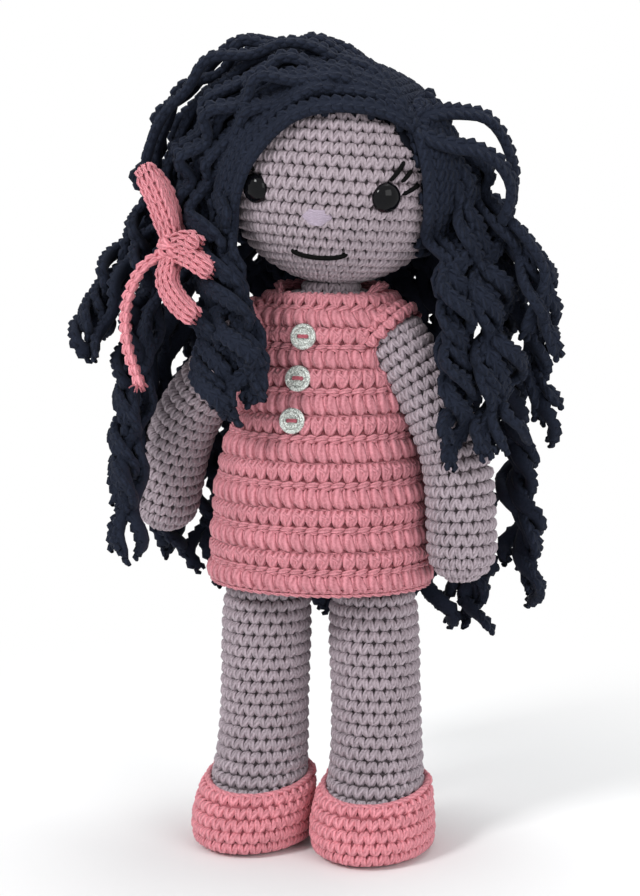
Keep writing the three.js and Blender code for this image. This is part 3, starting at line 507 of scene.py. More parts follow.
STITCH_STRANDS: dict[Stitch, tuple[Strand, ...]] = {
    Stitch.SINGLE: (LEG, LEG.mirrored()),
    Stitch.POST: (
        POST_LEG, POST_LEG.mirrored(),
        Strand(((2.3, -0.2, 2.2), (0.8, 1.9, 1.7), (-0.9, 1.9, 0.7), (-2.3, -0.2, -0.2)),
               (0.6, 0.95, 0.95, 0.6))),
    Stitch.LEANING_POST: (
        Strand(((1.2, -0.9, 3.4), (1.5, 0.6, 2.2), (1.1, 1.2, 0.4), (-0.1, 1.1, -1.6),
                (-1.3, -1.1, -3.2)), (1.1, 1.8, 2.15, 1.9, 1.0)),
        Strand(((-1.0, -0.9, 3.3), (-1.1, 0.6, 2.0), (-1.6, 0.9, 0.4), (-2.5, 0.5, -1.3),
                (-3.2, -0.9, -2.5)), (0.8, 1.05, 1.05, 0.95, 0.6))),
    Stitch.CHAIN: (
        Strand(((3.0, -0.8, -0.9), (1.3, 0.8, -0.1), (-0.8, 0.9, 0.7), (-2.6, -0.8, 0.9)),
               (0.7, 1.15, 1.2, 0.8)),
        Strand(((2.5, -0.7, 0.6), (0.9, 0.5, -0.7), (-0.9, 0.5, -1.2), (-2.9, -0.8, -0.5)),
               (0.6, 0.95, 0.95, 0.6))),
    Stitch.LINK: (
        LINK_SIDE, LINK_SIDE.mirrored(),
        Strand(((0.2, -0.4, -2.9), (0.5, -1.6, -0.8), (-0.3, -1.6, 1.0), (-0.2, -0.3, 3.0)),
               (0.9, 1.4, 1.4, 0.9))),
    Stitch.FLAT_LINK: (FLAT_SIDE, FLAT_SIDE.mirrored()),
    Stitch.BAR: (Strand(((-3.2, 0.0, 0.0), (-1.0, 0.25, 0.0), (1.0, 0.25, 0.0), (3.2, 0.0, 0.0)),
                        (0.95, 1.0, 1.0, 0.95)),),
}


def yarn_mesh(name: str, strands: Iterable[Strand], sides: int = 6) -> bpy.types.Mesh:
    """A mesh of short strands of yarn, with how far along and how far round each point is, and how much
    painted shade each point takes for its depth.

    Args:
        name: the mesh's name.
        strands: the strands, in millimetres.
        sides: faces round each strand.
    Returns:
        The mesh, in metres.
    """
    mesh_points, faces, marks, depth_shades = [], [], [], []
    for strand in strands:
        p = np.array(strand.points, float)
        along = unit(np.gradient(p, axis=0))
        side = unit(np.cross(along, [0.0, 1.0, 0.0]))
        across = np.cross(side, along)
        start = len(mesh_points)
        length = stations(p)
        for k, (centre, radius) in enumerate(zip(p, strand.radii)):
            for s in range(sides):
                angle = 2 * math.pi * s / sides
                point = centre + radius * (math.cos(angle) * side[k] + math.sin(angle) * across[k])
                mesh_points.append(point * MM)
                # painted shade: points that lie deeper in the stitch get more, which darkens their colour
                depth_shades.append(float(np.clip(0.32 * (0.5 - point[1]), 0, 0.6)))
        for k in range(len(p) - 1):
            for s in range(sides):
                a, b = start + k * sides + s, start + k * sides + (s + 1) % sides
                faces.append((a, a + sides, b + sides, b))
                marks.append([(length[k], s / sides), (length[k + 1], s / sides),
                              (length[k + 1], (s + 1) / sides), (length[k], (s + 1) / sides)])
    mesh = bpy.data.meshes.new(name)
    mesh.from_pydata([tuple(p) for p in mesh_points], [], faces)
    layer = mesh.uv_layers.new(name="yarn")
    layer.data.foreach_set("uv", np.array(marks, np.float32).ravel())
    deep = mesh.attributes.new("deep", "FLOAT", "POINT")
    deep.data.foreach_set("value", np.array(depth_shades, np.float32))
    face_outwards(mesh)
    return mesh


def face_outwards(mesh: bpy.types.Mesh) -> None:
    """Shades a mesh smooth and turns its faces outwards.

    Args:
        mesh: the mesh to change.
    """
    mesh.polygons.foreach_set("use_smooth", [True] * len(mesh.polygons))
    with shaping(mesh, mesh) as work:
        bmesh.ops.recalc_face_normals(work, faces=work.faces)


def without_faces(mesh: bpy.types.Mesh, gone: Callable[[Array], Array]) -> None:
    """Deletes some faces of a mesh.

    Args:
        mesh: the mesh to change.
        gone: tells which of the faces' middles, in the doll's millimetres, are of these faces.
    """
    with shaping(mesh, mesh) as work:
        middles = np.array([face.calc_center_median() for face in work.faces]) / MM - STAND
        faces = [face for face, hit in zip(work.faces, gone(middles)) if hit]
        bmesh.ops.delete(work, geom=faces, context="FACES")


@dataclass
class Places:
    """Where stitches go: their middles, which way is up and out for each, and their scale."""

    at: Array
    up: Array
    out: Array
    size: Array

    @classmethod
    def joined(cls, several: Sequence["Places"]) -> "Places":
        """All the places of several sets."""
        return cls(*(np.concatenate([getattr(p, name) for p in several])
                     for name in ("at", "up", "out", "size")))

    def kept(self, mask: Array) -> "Places":
        """The places where mask is true."""
        return Places(self.at[mask], self.up[mask], self.out[mask], self.size[mask])

    def turned(self, degrees: float) -> "Places":
        """The places with up turned about out.

        Args:
            degrees: how far, anticlockwise as seen from outside.
        Returns:
            The turned places.
        """
        a = math.radians(degrees)
        side = np.cross(self.up, self.out)
        return Places(self.at, self.up * math.cos(a) - side * math.sin(a), self.out, self.size)

    def lifted(self, by: float) -> "Places":
        """The places moved outwards, in millimetres."""
        return Places(self.at + self.out * by, self.up, self.out, self.size)


class StitchMaker:
    """Lays stitches on places with a geometry node tree, as plain meshes."""

    def __init__(self, seed: int = 7) -> None:
        """Makes the pattern stitches and the tree; each laying adds one to the seed."""
        self.seed = seed
        self.patterns = {kind: linked(f"pattern_{kind.value}", yarn_mesh(kind.value, strands))
                         for kind, strands in STITCH_STRANDS.items()}
        self.tree = self._tree()

    def _tree(self) -> bpy.types.NodeTree:
        """Builds the tree: instances on points, turned to their up and out, then realized.

        Returns:
            The tree.
        """
        tree, given, out = new_tree(
            "lay_stitches", "GeometryNodeTree",
            {"Geometry": "Geometry", "Stitch": "Object", "Looseness": "Float", "Seed": "Int",
             "Material": "Material"}, {"Geometry": "Geometry"})
        add = partial(add_node, tree)

        def named(name: str) -> bpy.types.NodeSocket:
            """The vector that each point carries under a name."""
            return add("GeometryNodeInputNamedAttribute", {"Name": name},
                       data_type="FLOAT_VECTOR").outputs["Attribute"]

        def random(low: float, high: float, offset: int) -> bpy.types.NodeSocket:
            """A random vector for each stitch, from the seed and an offset to it."""
            return add("FunctionNodeRandomValue", {
                0: (low,) * 3, 1: (high,) * 3, "Seed": math_node(tree, "ADD", given["Seed"], offset)},
                data_type="FLOAT_VECTOR").outputs[0]

        axes = add("FunctionNodeAxesToRotation", {
            "Primary Axis": named("up"), "Secondary Axis": named("out")}, primary_axis="Z",
            secondary_axis="Y")
        loose = add("ShaderNodeVectorMath", {0: random(-1, 1, 0), "Scale": given["Looseness"]},
                    operation="SCALE")
        euler = add("FunctionNodeEulerToRotation", {0: loose.outputs[0]})
        turn = add("FunctionNodeRotateRotation", {
            "Rotation": axes.outputs[0], "Rotate By": euler.outputs[0]}, rotation_space="LOCAL")
        scale = add("ShaderNodeVectorMath", {0: named("size"), 1: random(0.95, 1.05, 11)},
                    operation="MULTIPLY")
        info = add("GeometryNodeObjectInfo", {"Object": given["Stitch"], "As Instance": True})
        place = add("GeometryNodeInstanceOnPoints", {
            "Points": given["Geometry"], "Instance": info.outputs["Geometry"],
            "Rotation": turn.outputs[0], "Scale": scale.outputs[0]})
        one = add("ShaderNodeSeparateXYZ", {0: random(-1, 1, 23)})
        store = add("GeometryNodeStoreNamedAttribute", {
            "Geometry": place.outputs["Instances"], "Name": "tint", "Value": one.outputs[0]},
            data_type="FLOAT", domain="INSTANCE")
        real = add("GeometryNodeRealizeInstances", {"Geometry": store.outputs["Geometry"]})
        paint = add("GeometryNodeSetMaterial", {
            "Geometry": real.outputs["Geometry"], "Material": given["Material"]})
        set_inputs(out, {"Geometry": paint.outputs["Geometry"]})
        return tree

    def lay(self, kind: Stitch, places: Places, yarn: Yarn, looseness: float = 0.05) -> bpy.types.Mesh:
        """Lays one kind of stitch.

        Args:
            kind: the stitch.
            places: where they go, in the doll's millimetres.
            yarn: what they are worked in.
            looseness: how far each may turn from its place, in radians.
        Returns:
            A plain mesh in the frame's metres.
        """
        mesh = bpy.data.meshes.new("stitch_points")
        mesh.from_pydata([tuple(p) for p in (places.at + STAND) * MM], [], [])
        for name in ("up", "out", "size"):
            layer = mesh.attributes.new(name, "FLOAT_VECTOR", "POINT")
            layer.data.foreach_set("vector", getattr(places, name).astype(np.float32).ravel())
        holder = linked("stitch_points", mesh)
        modifier = holder.modifiers.new("stitches", "NODES")
        modifier.node_group = self.tree
        values = {"Stitch": self.patterns[kind], "Looseness": looseness, "Seed": self.seed,
                  "Material": yarn.material()}
        for socket in self.tree.interface.items_tree:
            if socket.in_out == "INPUT" and socket.name in values:
                modifier[socket.identifier] = values[socket.name]
        self.seed += 1
        bpy.context.view_layer.update()
        found = holder.evaluated_get(bpy.context.evaluated_depsgraph_get())
        laid = bpy.data.meshes.new_from_object(found)
        bpy.data.objects.remove(holder)
        bpy.data.meshes.remove(mesh)
        return laid

    def put_away(self) -> None:
        """Removes the pattern stitches."""
        for pattern in self.patterns.values():
            bpy.data.objects.remove(pattern)


# Surfaces that stitches are worked over


class Surface:
    """A closed-round surface given as rings of points, from its first row to its last."""

    def __init__(self, rings: Array) -> None:
        """Takes the rings and measures the length from the first to each."""
        self.rings = rings
        steps = np.linalg.norm(np.diff(rings, axis=0), axis=2).mean(axis=1)
        self.length = np.concatenate([[0], np.cumsum(steps)])

    def ring(self, along: float) -> Array:
        """The ring at a length along the surface.

        Args:
            along: the length from the first ring.
        Returns:
            The ring's points.
        """
        k = int(np.clip(np.searchsorted(self.length, along) - 1, 0, len(self.length) - 2))
        share = (along - self.length[k]) / max(self.length[k + 1] - self.length[k], 1e-9)
        return self.rings[k] * (1 - share) + self.rings[k + 1] * share

    def at_height(self, z: float) -> float:
        """The length along the surface at which its ring lies at height z."""
        heights = self.rings[:, :, 2].mean(axis=1)
        return float(np.interp(z, heights, self.length))

    def row(self, along: float, width: float, size: Sequence[float], phase: float = 0.0) -> Places:
        """The places of one row of stitches.

        Args:
            along: the length at which the row's middle lies.
            width: about how wide each stitch is.
            size: scale of the stitches across, outwards and up.
            phase: how far the row is shifted, in stitches.
        Returns:
            The row's places.
        """
        ring = self.ring(along)
        station = stations(closed(ring))
        number = max(3, int(round(station[-1] / width)))
        where = ((np.arange(number) + phase) / number) % 1 * station[-1]
        low, high = (self.ring(float(np.clip(along + d, 0, self.length[-1]))) for d in (-1.5, 1.5))
        at, below, above, ahead, behind = (
            read_at(where, station, closed(points))
            for points in (ring, low, high, np.roll(ring, -1, axis=0), np.roll(ring, 1, axis=0)))
        up = unit(above - below)
        out = unit(np.cross(unit(ahead - behind), up))
        scale = np.array(size, float) * [station[-1] / number / width, 1, 1]
        return Places(at, up, out, np.broadcast_to(scale, at.shape).copy())

    def rows(self, pitch: float, width: float, start: float = 0.0, end: float | None = None,
             slant: float = 0.12, size: Sequence[float] = (1.08, 1, 0.95)) -> Places:
        """Rows of stitches over the whole surface.

        Args:
            pitch: the height of a row.
            width: the width of a stitch.
            start: the length where the first row begins.
            end: the length where the last row ends.
            slant: how far each row moves on, in stitches.
            size: scale of the stitches.
        Returns:
            The places of all the rows.
        """
        last = self.length[-1] if end is None else end
        number = max(1, int(round((last - start) / pitch)))
        step = (last - start) / number
        return Places.joined([
            self.row(start + (k + 0.5) * step, width, np.array(size) * [1, 1, step / pitch], k * slant)
            for k in range(number)])

    def ground(self, name: str, inset: float, sides: int = 48) -> bpy.types.Mesh:
        """The closed surface that lies just behind the stitches.

        Args:
            name: the mesh's name.
            inset: how far behind the stitches' middle it lies.
            sides: faces round it.
        Returns:
            The mesh, in the frame's metres.
        """
        keep = np.linspace(0, self.rings.shape[1], sides, endpoint=False).astype(int)
        rings = self.rings[:, keep]
        tangent = np.roll(rings, -1, axis=1) - np.roll(rings, 1, axis=1)
        out = unit(np.cross(tangent, np.gradient(rings, axis=0)))
        rings = rings - out * inset
        points = [*rings.reshape(-1, 3), rings[0].mean(axis=0), rings[-1].mean(axis=0)]
        faces, last = [], len(rings) - 1
        for r in range(last):
            for s in range(sides):
                a, b = r * sides + s, r * sides + (s + 1) % sides
                faces.append((a, b, b + sides, a + sides))
        bottom, top = len(points) - 2, len(points) - 1
        for s in range(sides):
            n = (s + 1) % sides
            faces.append((n, s, bottom))
            faces.append((last * sides + s, last * sides + n, top))
        mesh = bpy.data.meshes.new(name)
        mesh.from_pydata([tuple(p) for p in (np.array(points) + STAND) * MM], [], faces)
        face_outwards(mesh)
        return mesh


class CadSkin:
    """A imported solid, to ask where it is and to make the ground behind its stitches."""

    def __init__(self, node: str) -> None:
        """Takes a node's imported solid."""
        self.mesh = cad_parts[node].data
        self.tree = BVHTree.FromPolygons([v.co.copy() for v in self.mesh.vertices],
                                         [tuple(p.vertices) for p in self.mesh.polygons])

    def covers(self, places: Places, reach: float = 3.0, margin: float = 0.0) -> Array:
        """Whether the solid is behind each place.

        Args:
            places: the places, in the doll's millimetres.
            reach: how deep the solid may lie.
            margin: how far above, below and beside the place it must be too.
        Returns:
            A boolean for each place.
        """
        side = np.cross(places.up, places.out)
        shifts = [0 * side] if margin == 0 else [
            0 * side, margin * side, -margin * side, margin * places.up, -margin * places.up]
        found = np.ones(len(places.at), bool)
        for shift in shifts:
            starts = (places.at + shift + places.out * 2.0 + STAND) * MM
            for k, (start, out) in enumerate(zip(starts, places.out)):
                if found[k]:
                    hit = self.tree.ray_cast(Vector(start), -Vector(out), (reach + 2.0) * MM)
                    found[k] = hit[0] is not None
        return found

    def behind(self, at: Array, out: Array, reach: float) -> bool:
        """Whether the solid lies within reach behind one point, seen along its way out."""
        spot = Places(at[None], np.array([[0, 0, 1.0]]), out[None], np.ones((1, 3)))
        return bool(self.covers(spot, reach)[0])

    def ground(self, name: str, inset: float) -> bpy.types.Mesh:
        """The solid's own surface, a little inside it.

        Args:
            name: the mesh's name.
            inset: how far inside, in millimetres.
        Returns:
            The mesh.
        """
        mesh = bpy.data.meshes.new(name)
        with shaping(mesh, self.mesh) as work:
            bmesh.ops.remove_doubles(work, verts=work.verts, dist=1e-6)
            bmesh.ops.recalc_face_normals(work, faces=work.faces)
            work.normal_update()
            moved = [v.co - v.normal * inset * MM for v in work.verts]
            for vertex, place in zip(work.verts, moved):
                vertex.co = place
        for layer in [a.name for a in mesh.attributes if a.name.startswith("custom_normal")]:
            mesh.attributes.remove(mesh.attributes[layer])
        mesh.polygons.foreach_set("use_smooth", [True] * len(mesh.polygons))
        return mesh


def joined_piece(name: str,
                 parts: Sequence[tuple[bpy.types.Mesh, bpy.types.Material]]) -> bpy.types.Object:
    """One object of several meshes.

    Args:
        name: the piece's name.
        parts: each mesh with its material.
    Returns:
        The piece, linked to the scene.
    """
    materials = list(dict.fromkeys(material for _, material in parts))
    whole = bpy.data.meshes.new(name)
    with shaping(whole) as work:
        for mesh, material in parts:
            before = len(work.faces)
            work.from_mesh(mesh)
            work.faces.ensure_lookup_table()
            for face in work.faces[before:]:
                face.material_index = materials.index(material)
    for material in materials:
        whole.materials.append(material)
    return linked(name, whole)


# Sizes and forms that the pieces share, in the doll's millimetres

NECK_LEAN, BELLY_Z, NECK_TOP_Z = 5.0, 148.0, 237.0
LOOSE = 0.09                             # how far a stitch may turn from its place, in radians
SINGLE_WIDTH, SINGLE_PITCH = 4.5, 5.0    # one single crochet of the skin and the cap
SUNK, GROUND_DEPTH = 0.6, 1.25           # how deep limbs' stitches sit, and the ground behind them
EDGE_STEP = 4.3                          # one link of the dress's plain edges
ARM_LEANS = {LEFT: (0.0, 0.0), RIGHT: (14.0, 14.0)}  # each arm's lift aside and swing back, in degrees


def neck_x(z: float) -> float:
    """How far the upper body leans to the doll's left at height z."""
    return NECK_LEAN * float(smooth(z, BELLY_Z, NECK_TOP_Z))


def oval(x: float, y: float, z: float, half_width: float, half_depth: float, n: int = 120) -> Array:
    """A level oval ring of n points round a middle."""
    a = turns(n)
    return np.stack([x + half_width * np.cos(a), y + half_depth * np.sin(a), np.full(n, z)], axis=1)


def round_limb(line: Array, radii: Array, facing: Array, n: int = 96, flatness: float = 1.0) -> Array:
    """Rings round a line, with domed ends.

    Args:
        line: the middle line's points.
        radii: the radius at each.
        facing: where the rings start.
        n: points round each ring.
        flatness: the ring's depth against its width.
    Returns:
        The rings.
    """
    along, out = line_frames(line, facing)
    side = np.cross(along, out)
    a = turns(n)[:, None]
    return np.array([point + radius * (flatness * np.cos(a) * o + np.sin(a) * s)
                     for point, radius, o, s in zip(line, radii, out, side)])


def domed(length: float, station: Array, radius: Array) -> Array:
    """Radii that round off both ends of a limb.

    Args:
        length: the limb's length.
        station: the length at each ring.
        radius: the full radius at each ring.
    Returns:
        The rounded radii.
    """
    low = np.clip(station / radius, 0.03, 1)
    high = np.clip((length - station) / radius, 0.03, 1)
    return radius * np.sqrt(1 - (1 - low) ** 2) * np.sqrt(1 - (1 - high) ** 2)


@dataclass
class SubAssembly:
    """A group of pieces that is built, then dressed in its yarns."""

    maker: StitchMaker
    def finish(self, piece: bpy.types.Object, body: str, slot: str, *nodes: str) -> bpy.types.Object:
        """Puts a piece on its body, in place of its solids.

        Args:
            piece: the piece.
            body: the body that it rides on.
            slot: not used.
            nodes: the solids that it replaces.
        Returns:
            The piece.
        """
        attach(piece, body)
        if nodes:
            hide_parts(*nodes)
        LOG.info("%s: %d faces, on %s", piece.name, len(piece.data.polygons), body)
        return piece

    def knit(self, name: str, body: str, yarn: Yarn, ground: bpy.types.Mesh,
             stitches: Sequence[bpy.types.Mesh], *nodes: str) -> bpy.types.Object:
        """Finishes a piece of stitches and the ground behind them, all in one yarn."""
        # the ground takes the yarn's painted shade
        parts = [(ground, yarn.material(True)), *((mesh, yarn.material()) for mesh in stitches)]
        return self.finish(joined_piece(name, parts), body, yarn.slot, *nodes)


# Body, neck, arms and legs


@dataclass
class Torso(SubAssembly):
    """The stuffed body with its neck."""

    bottom_z: float = 119.0
    belly: tuple[float, float] = (38.0, 28.0)
    waist: tuple[float, float] = (33.0, 25.0)
    chest: tuple[float, float] = (29.0, 20.0)
    waist_z: float = 180.0
    chest_z: float = 208.0
    neck_radius: float = 11.0
    neck_slope: float = 15.0

    def build(self) -> None:
        """Works the body in single crochet, round by round."""
        belly, chest = np.array(self.belly), np.array(self.chest)
        at = section([
            (self.bottom_z, *(belly * (0.76, 0.71))),
            (self.bottom_z + 5.8, *(belly * (0.92, 0.91))),
            (BELLY_Z, *belly), (self.waist_z, *self.waist), (self.chest_z, *chest),
            (NECK_TOP_Z - self.neck_slope, *(chest * (0.93, 0.88))),
            (NECK_TOP_Z - 0.53 * self.neck_slope, *(chest * 0.72)),
            (NECK_TOP_Z - 0.3 * self.neck_slope, 1.1 * self.neck_radius, 1.05 * self.neck_radius),
            (NECK_TOP_Z, 0.91 * self.neck_radius, 0.91 * self.neck_radius)])
        heights = np.linspace(self.bottom_z, NECK_TOP_Z, 70)
        rings = [oval(neck_x(z), 0, z, *at(z)) for z in heights]
        under = [oval(0, 0, self.bottom_z, *(share * at(self.bottom_z)))
                 for share in (0.06, 0.4, 0.8)]
        surface = Surface(np.array(under + rings))
        skin = CadSkin("torso_cover")
        places = surface.rows(SINGLE_PITCH, SINGLE_WIDTH, slant=0.54).lifted(-0.5)
        places = places.kept(skin.covers(places, reach=2.5, margin=1.0))
        stitches = self.maker.lay(Stitch.SINGLE, places, SKIN)
        piece = self.knit("torso_knit", "torso", SKIN, skin.ground("torso_ground", 1.1), [stitches],
                          "torso_cover", "torso_filling")


@dataclass
class Arm(SubAssembly):
    """A stuffed arm, thicker at the hand."""

    side: int = LEFT
    shoulder_x: float = 30.0
    shoulder_z: float = 213.0
    forward: float = 5.0
    shoulder_radius: float = 12.0
    hand_radius: float = 13.0
    reach: float = 28.0
    drop: float = 84.0
    lift: float = 0.0
    back: float = 0.0

    def line(self) -> Array:
        """The arm's middle line.

        Returns:
            Its points.
        """
        r = self.shoulder_radius
        points = np.array([(-0.44 * r, 0, 0.9 * r), (0, 0, 0), (self.reach * 0.5, 0, -self.drop * 0.25),
                           (self.reach * 0.92, 0, -self.drop * 0.6),
                           (self.reach * 1.02, 0, -self.drop - self.hand_radius)])
        line = smooth_line(points, 1.5)
        turn = Matrix.Rotation(math.radians(-self.lift), 3, "Y")
        line = line @ np.array(turn).T
        line[:, 0] *= self.side
        swing = np.array(Matrix.Rotation(math.radians(self.back), 3, "X"))
        x = neck_x(self.shoulder_z) + self.side * self.shoulder_x
        shoulder = np.array([x, -self.forward, self.shoulder_z])
        return line @ swing.T + shoulder

    def build(self) -> None:
        """Works the arm from the hand up to the shoulder."""
        line = self.line()[::-1]
        station = stations(line)
        share = 1 - station / station[-1]
        wider = self.hand_radius - self.shoulder_radius
        full = self.shoulder_radius + wider * smooth(share, 0.1, 0.85)
        radii = domed(station[-1], station, full)
        surface = Surface(round_limb(line, radii, np.array([0.0, 1.0, 0.0])))
        places = surface.rows(SINGLE_PITCH, SINGLE_WIDTH, slant=0.54).lifted(-SUNK)
        stitches = self.maker.lay(Stitch.SINGLE, places, SKIN, LOOSE)
        name = f"{SIDES[self.side]}_arm"
        piece = self.knit(f"{name}_knit", name, SKIN, surface.ground("arm_ground", GROUND_DEPTH),
                          [stitches], f"{name}_cover", f"{name}_filling")


LEG_SECTION = section([
    (3.3, 18.5, 25, -10), (10, 21, 28, -10), (18, 20.4, 26, -8.4), (27, 19, 21, -4),
    (40, 18, 18.2, -1), (60, 17.4, 17.4, 0), (100, 17.2, 17.2, 0), (112, 14.5, 14.5, 0)])


@dataclass
class Leg(SubAssembly):
    """A stuffed leg with its foot, and the slip-on shoe on it."""

    side: int = LEFT
    hip_x: float = 23.0
    hip_z: float = 112.0
    hip_radius: float = 14.5
    splay: float = 3.4
    shoe_wall: float = 3.7
    rim_heel_z: float = 30.0
    rim_toe_z: float = 24.5
    rim_step: float = 3.6
    rim_inset: float = 1.5
    rim_size: tuple[float, ...] = (0.85, 1.5, 1.5)
    shoe_pitch: float = 4.9
    shoe_width: float = 4.8
    shoe_sunk: float = 0.9

    def centre(self, z: float) -> float:
        """The leg's middle, sideways, at height z."""
        return self.side * (self.hip_x + self.splay * (1 - min(z, self.hip_z) / self.hip_z))

    def build(self) -> None:
        """Works the leg from the sole up to the hip, and then its shoe."""
        rings = []
        for z in np.concatenate([np.linspace(3.3, 45, 30), np.linspace(47, self.hip_z, 34)]):
            half_width, half_depth, y = LEG_SECTION(z)
            rings.append(oval(self.centre(z), y, z, half_width, half_depth))
        for angle in (15, 30, 45, 60, 75, 85):
            a = math.radians(angle)
            radius = self.hip_radius * math.cos(a)
            rings.append(oval(self.centre(self.hip_z), 0, self.hip_z + self.hip_radius * math.sin(a),
                              radius, radius))
        surface = Surface(np.array(rings))
        places = surface.rows(SINGLE_PITCH, SINGLE_WIDTH, slant=0.53).lifted(-SUNK)
        places = places.kept(places.at[:, 2] > self.rim_height(places.at[:, 1]) - 3.0)
        stitches = self.maker.lay(Stitch.SINGLE, places, SKIN, LOOSE)
        name = f"{SIDES[self.side]}_leg"
        piece = self.knit(f"{name}_knit", name, SKIN, surface.ground("leg_ground", GROUND_DEPTH),
                          [stitches], f"{name}_cover", f"{name}_filling")
        self.build_shoe()

    def rim_height(self, y: Array) -> Array:
        """The shoe rim's height, from the toe to the heel.

        Args:
            y: front to back.
        Returns:
            The heights.
        """
        _, half_length, middle = LEG_SECTION(self.rim_toe_z)
        share = (y - (middle - half_length)) / (2 * half_length)
        return self.rim_toe_z + (self.rim_heel_z - self.rim_toe_z) * share

    def build_shoe(self) -> None:
        """Works the shoe: its flat sole, its sides and its plain rim."""
        def around(z: float, inset: float) -> Array:
            """The shoe's outline at a height, drawn in by an inset."""
            half_width, half_length, y = LEG_SECTION(max(z, 10))
            wall = self.shoe_wall - inset
            return oval(self.centre(z), y, z, half_width + wall, half_length + wall)

        sole = [(0.9, 22), (0.9, 14), (0.9, 8), (1.0, 4.5), (2.2, 1.9), (4.5, 0.5), (7.5, 0)]
        rings = [around(z, inset) for z, inset in sole]
        rings += [around(z, 0) for z in np.linspace(9, self.rim_heel_z + 4, 18)]
        surface = Surface(np.array(rings))
        places = surface.rows(self.shoe_pitch, self.shoe_width, slant=0.55).lifted(-self.shoe_sunk)
        places = places.kept(places.at[:, 2] < self.rim_height(places.at[:, 1]) - 1.3)
        flat = places.out[:, 2] < -0.8
        places.size[flat] *= [1, 0.55, 1]
        stitches = self.maker.lay(Stitch.SINGLE, places, PINK)
        band = self.maker.lay(Stitch.BAR, self.rim_places(surface), PINK, 0.02)
        ground = surface.ground("shoe_ground", 1.0)
        without_faces(ground, lambda at: at[:, 2] > self.rim_height(at[:, 1]) + 0.2)
        name = SIDES[self.side]
        self.knit(f"{name}_shoe_knit", f"{name}_leg", PINK, ground, [stitches, band], f"{name}_shoe")

    def rim_places(self, surface: Surface) -> Places:
        """Where the bars of the shoe's rim go.

        Args:
            surface: the outside of the shoe.
        Returns:
            Their places.
        """
        rings = np.array([surface.ring(surface.at_height(z)) for z in np.linspace(14, 32, 60)])
        gap = np.abs(rings[:, :, 2] - self.rim_height(rings[:, :, 1]))
        line = rings[np.argmin(gap, axis=0), np.arange(rings.shape[1])]
        line[:, 2] = self.rim_height(line[:, 1])
        line = smooth_line(closed(line[::3]), self.rim_step)[:-1]
        along, out = line_frames(line, np.array([0, 0, 1.0]))
        side = np.cross(along, out)
        outward = side * np.sign(np.sum((line - line.mean(axis=0)) * side, axis=1))[:, None]
        at = line - outward * self.rim_inset + out * -SUNK
        return Places(at, out, outward, np.full(line.shape, self.rim_size))


# Dress


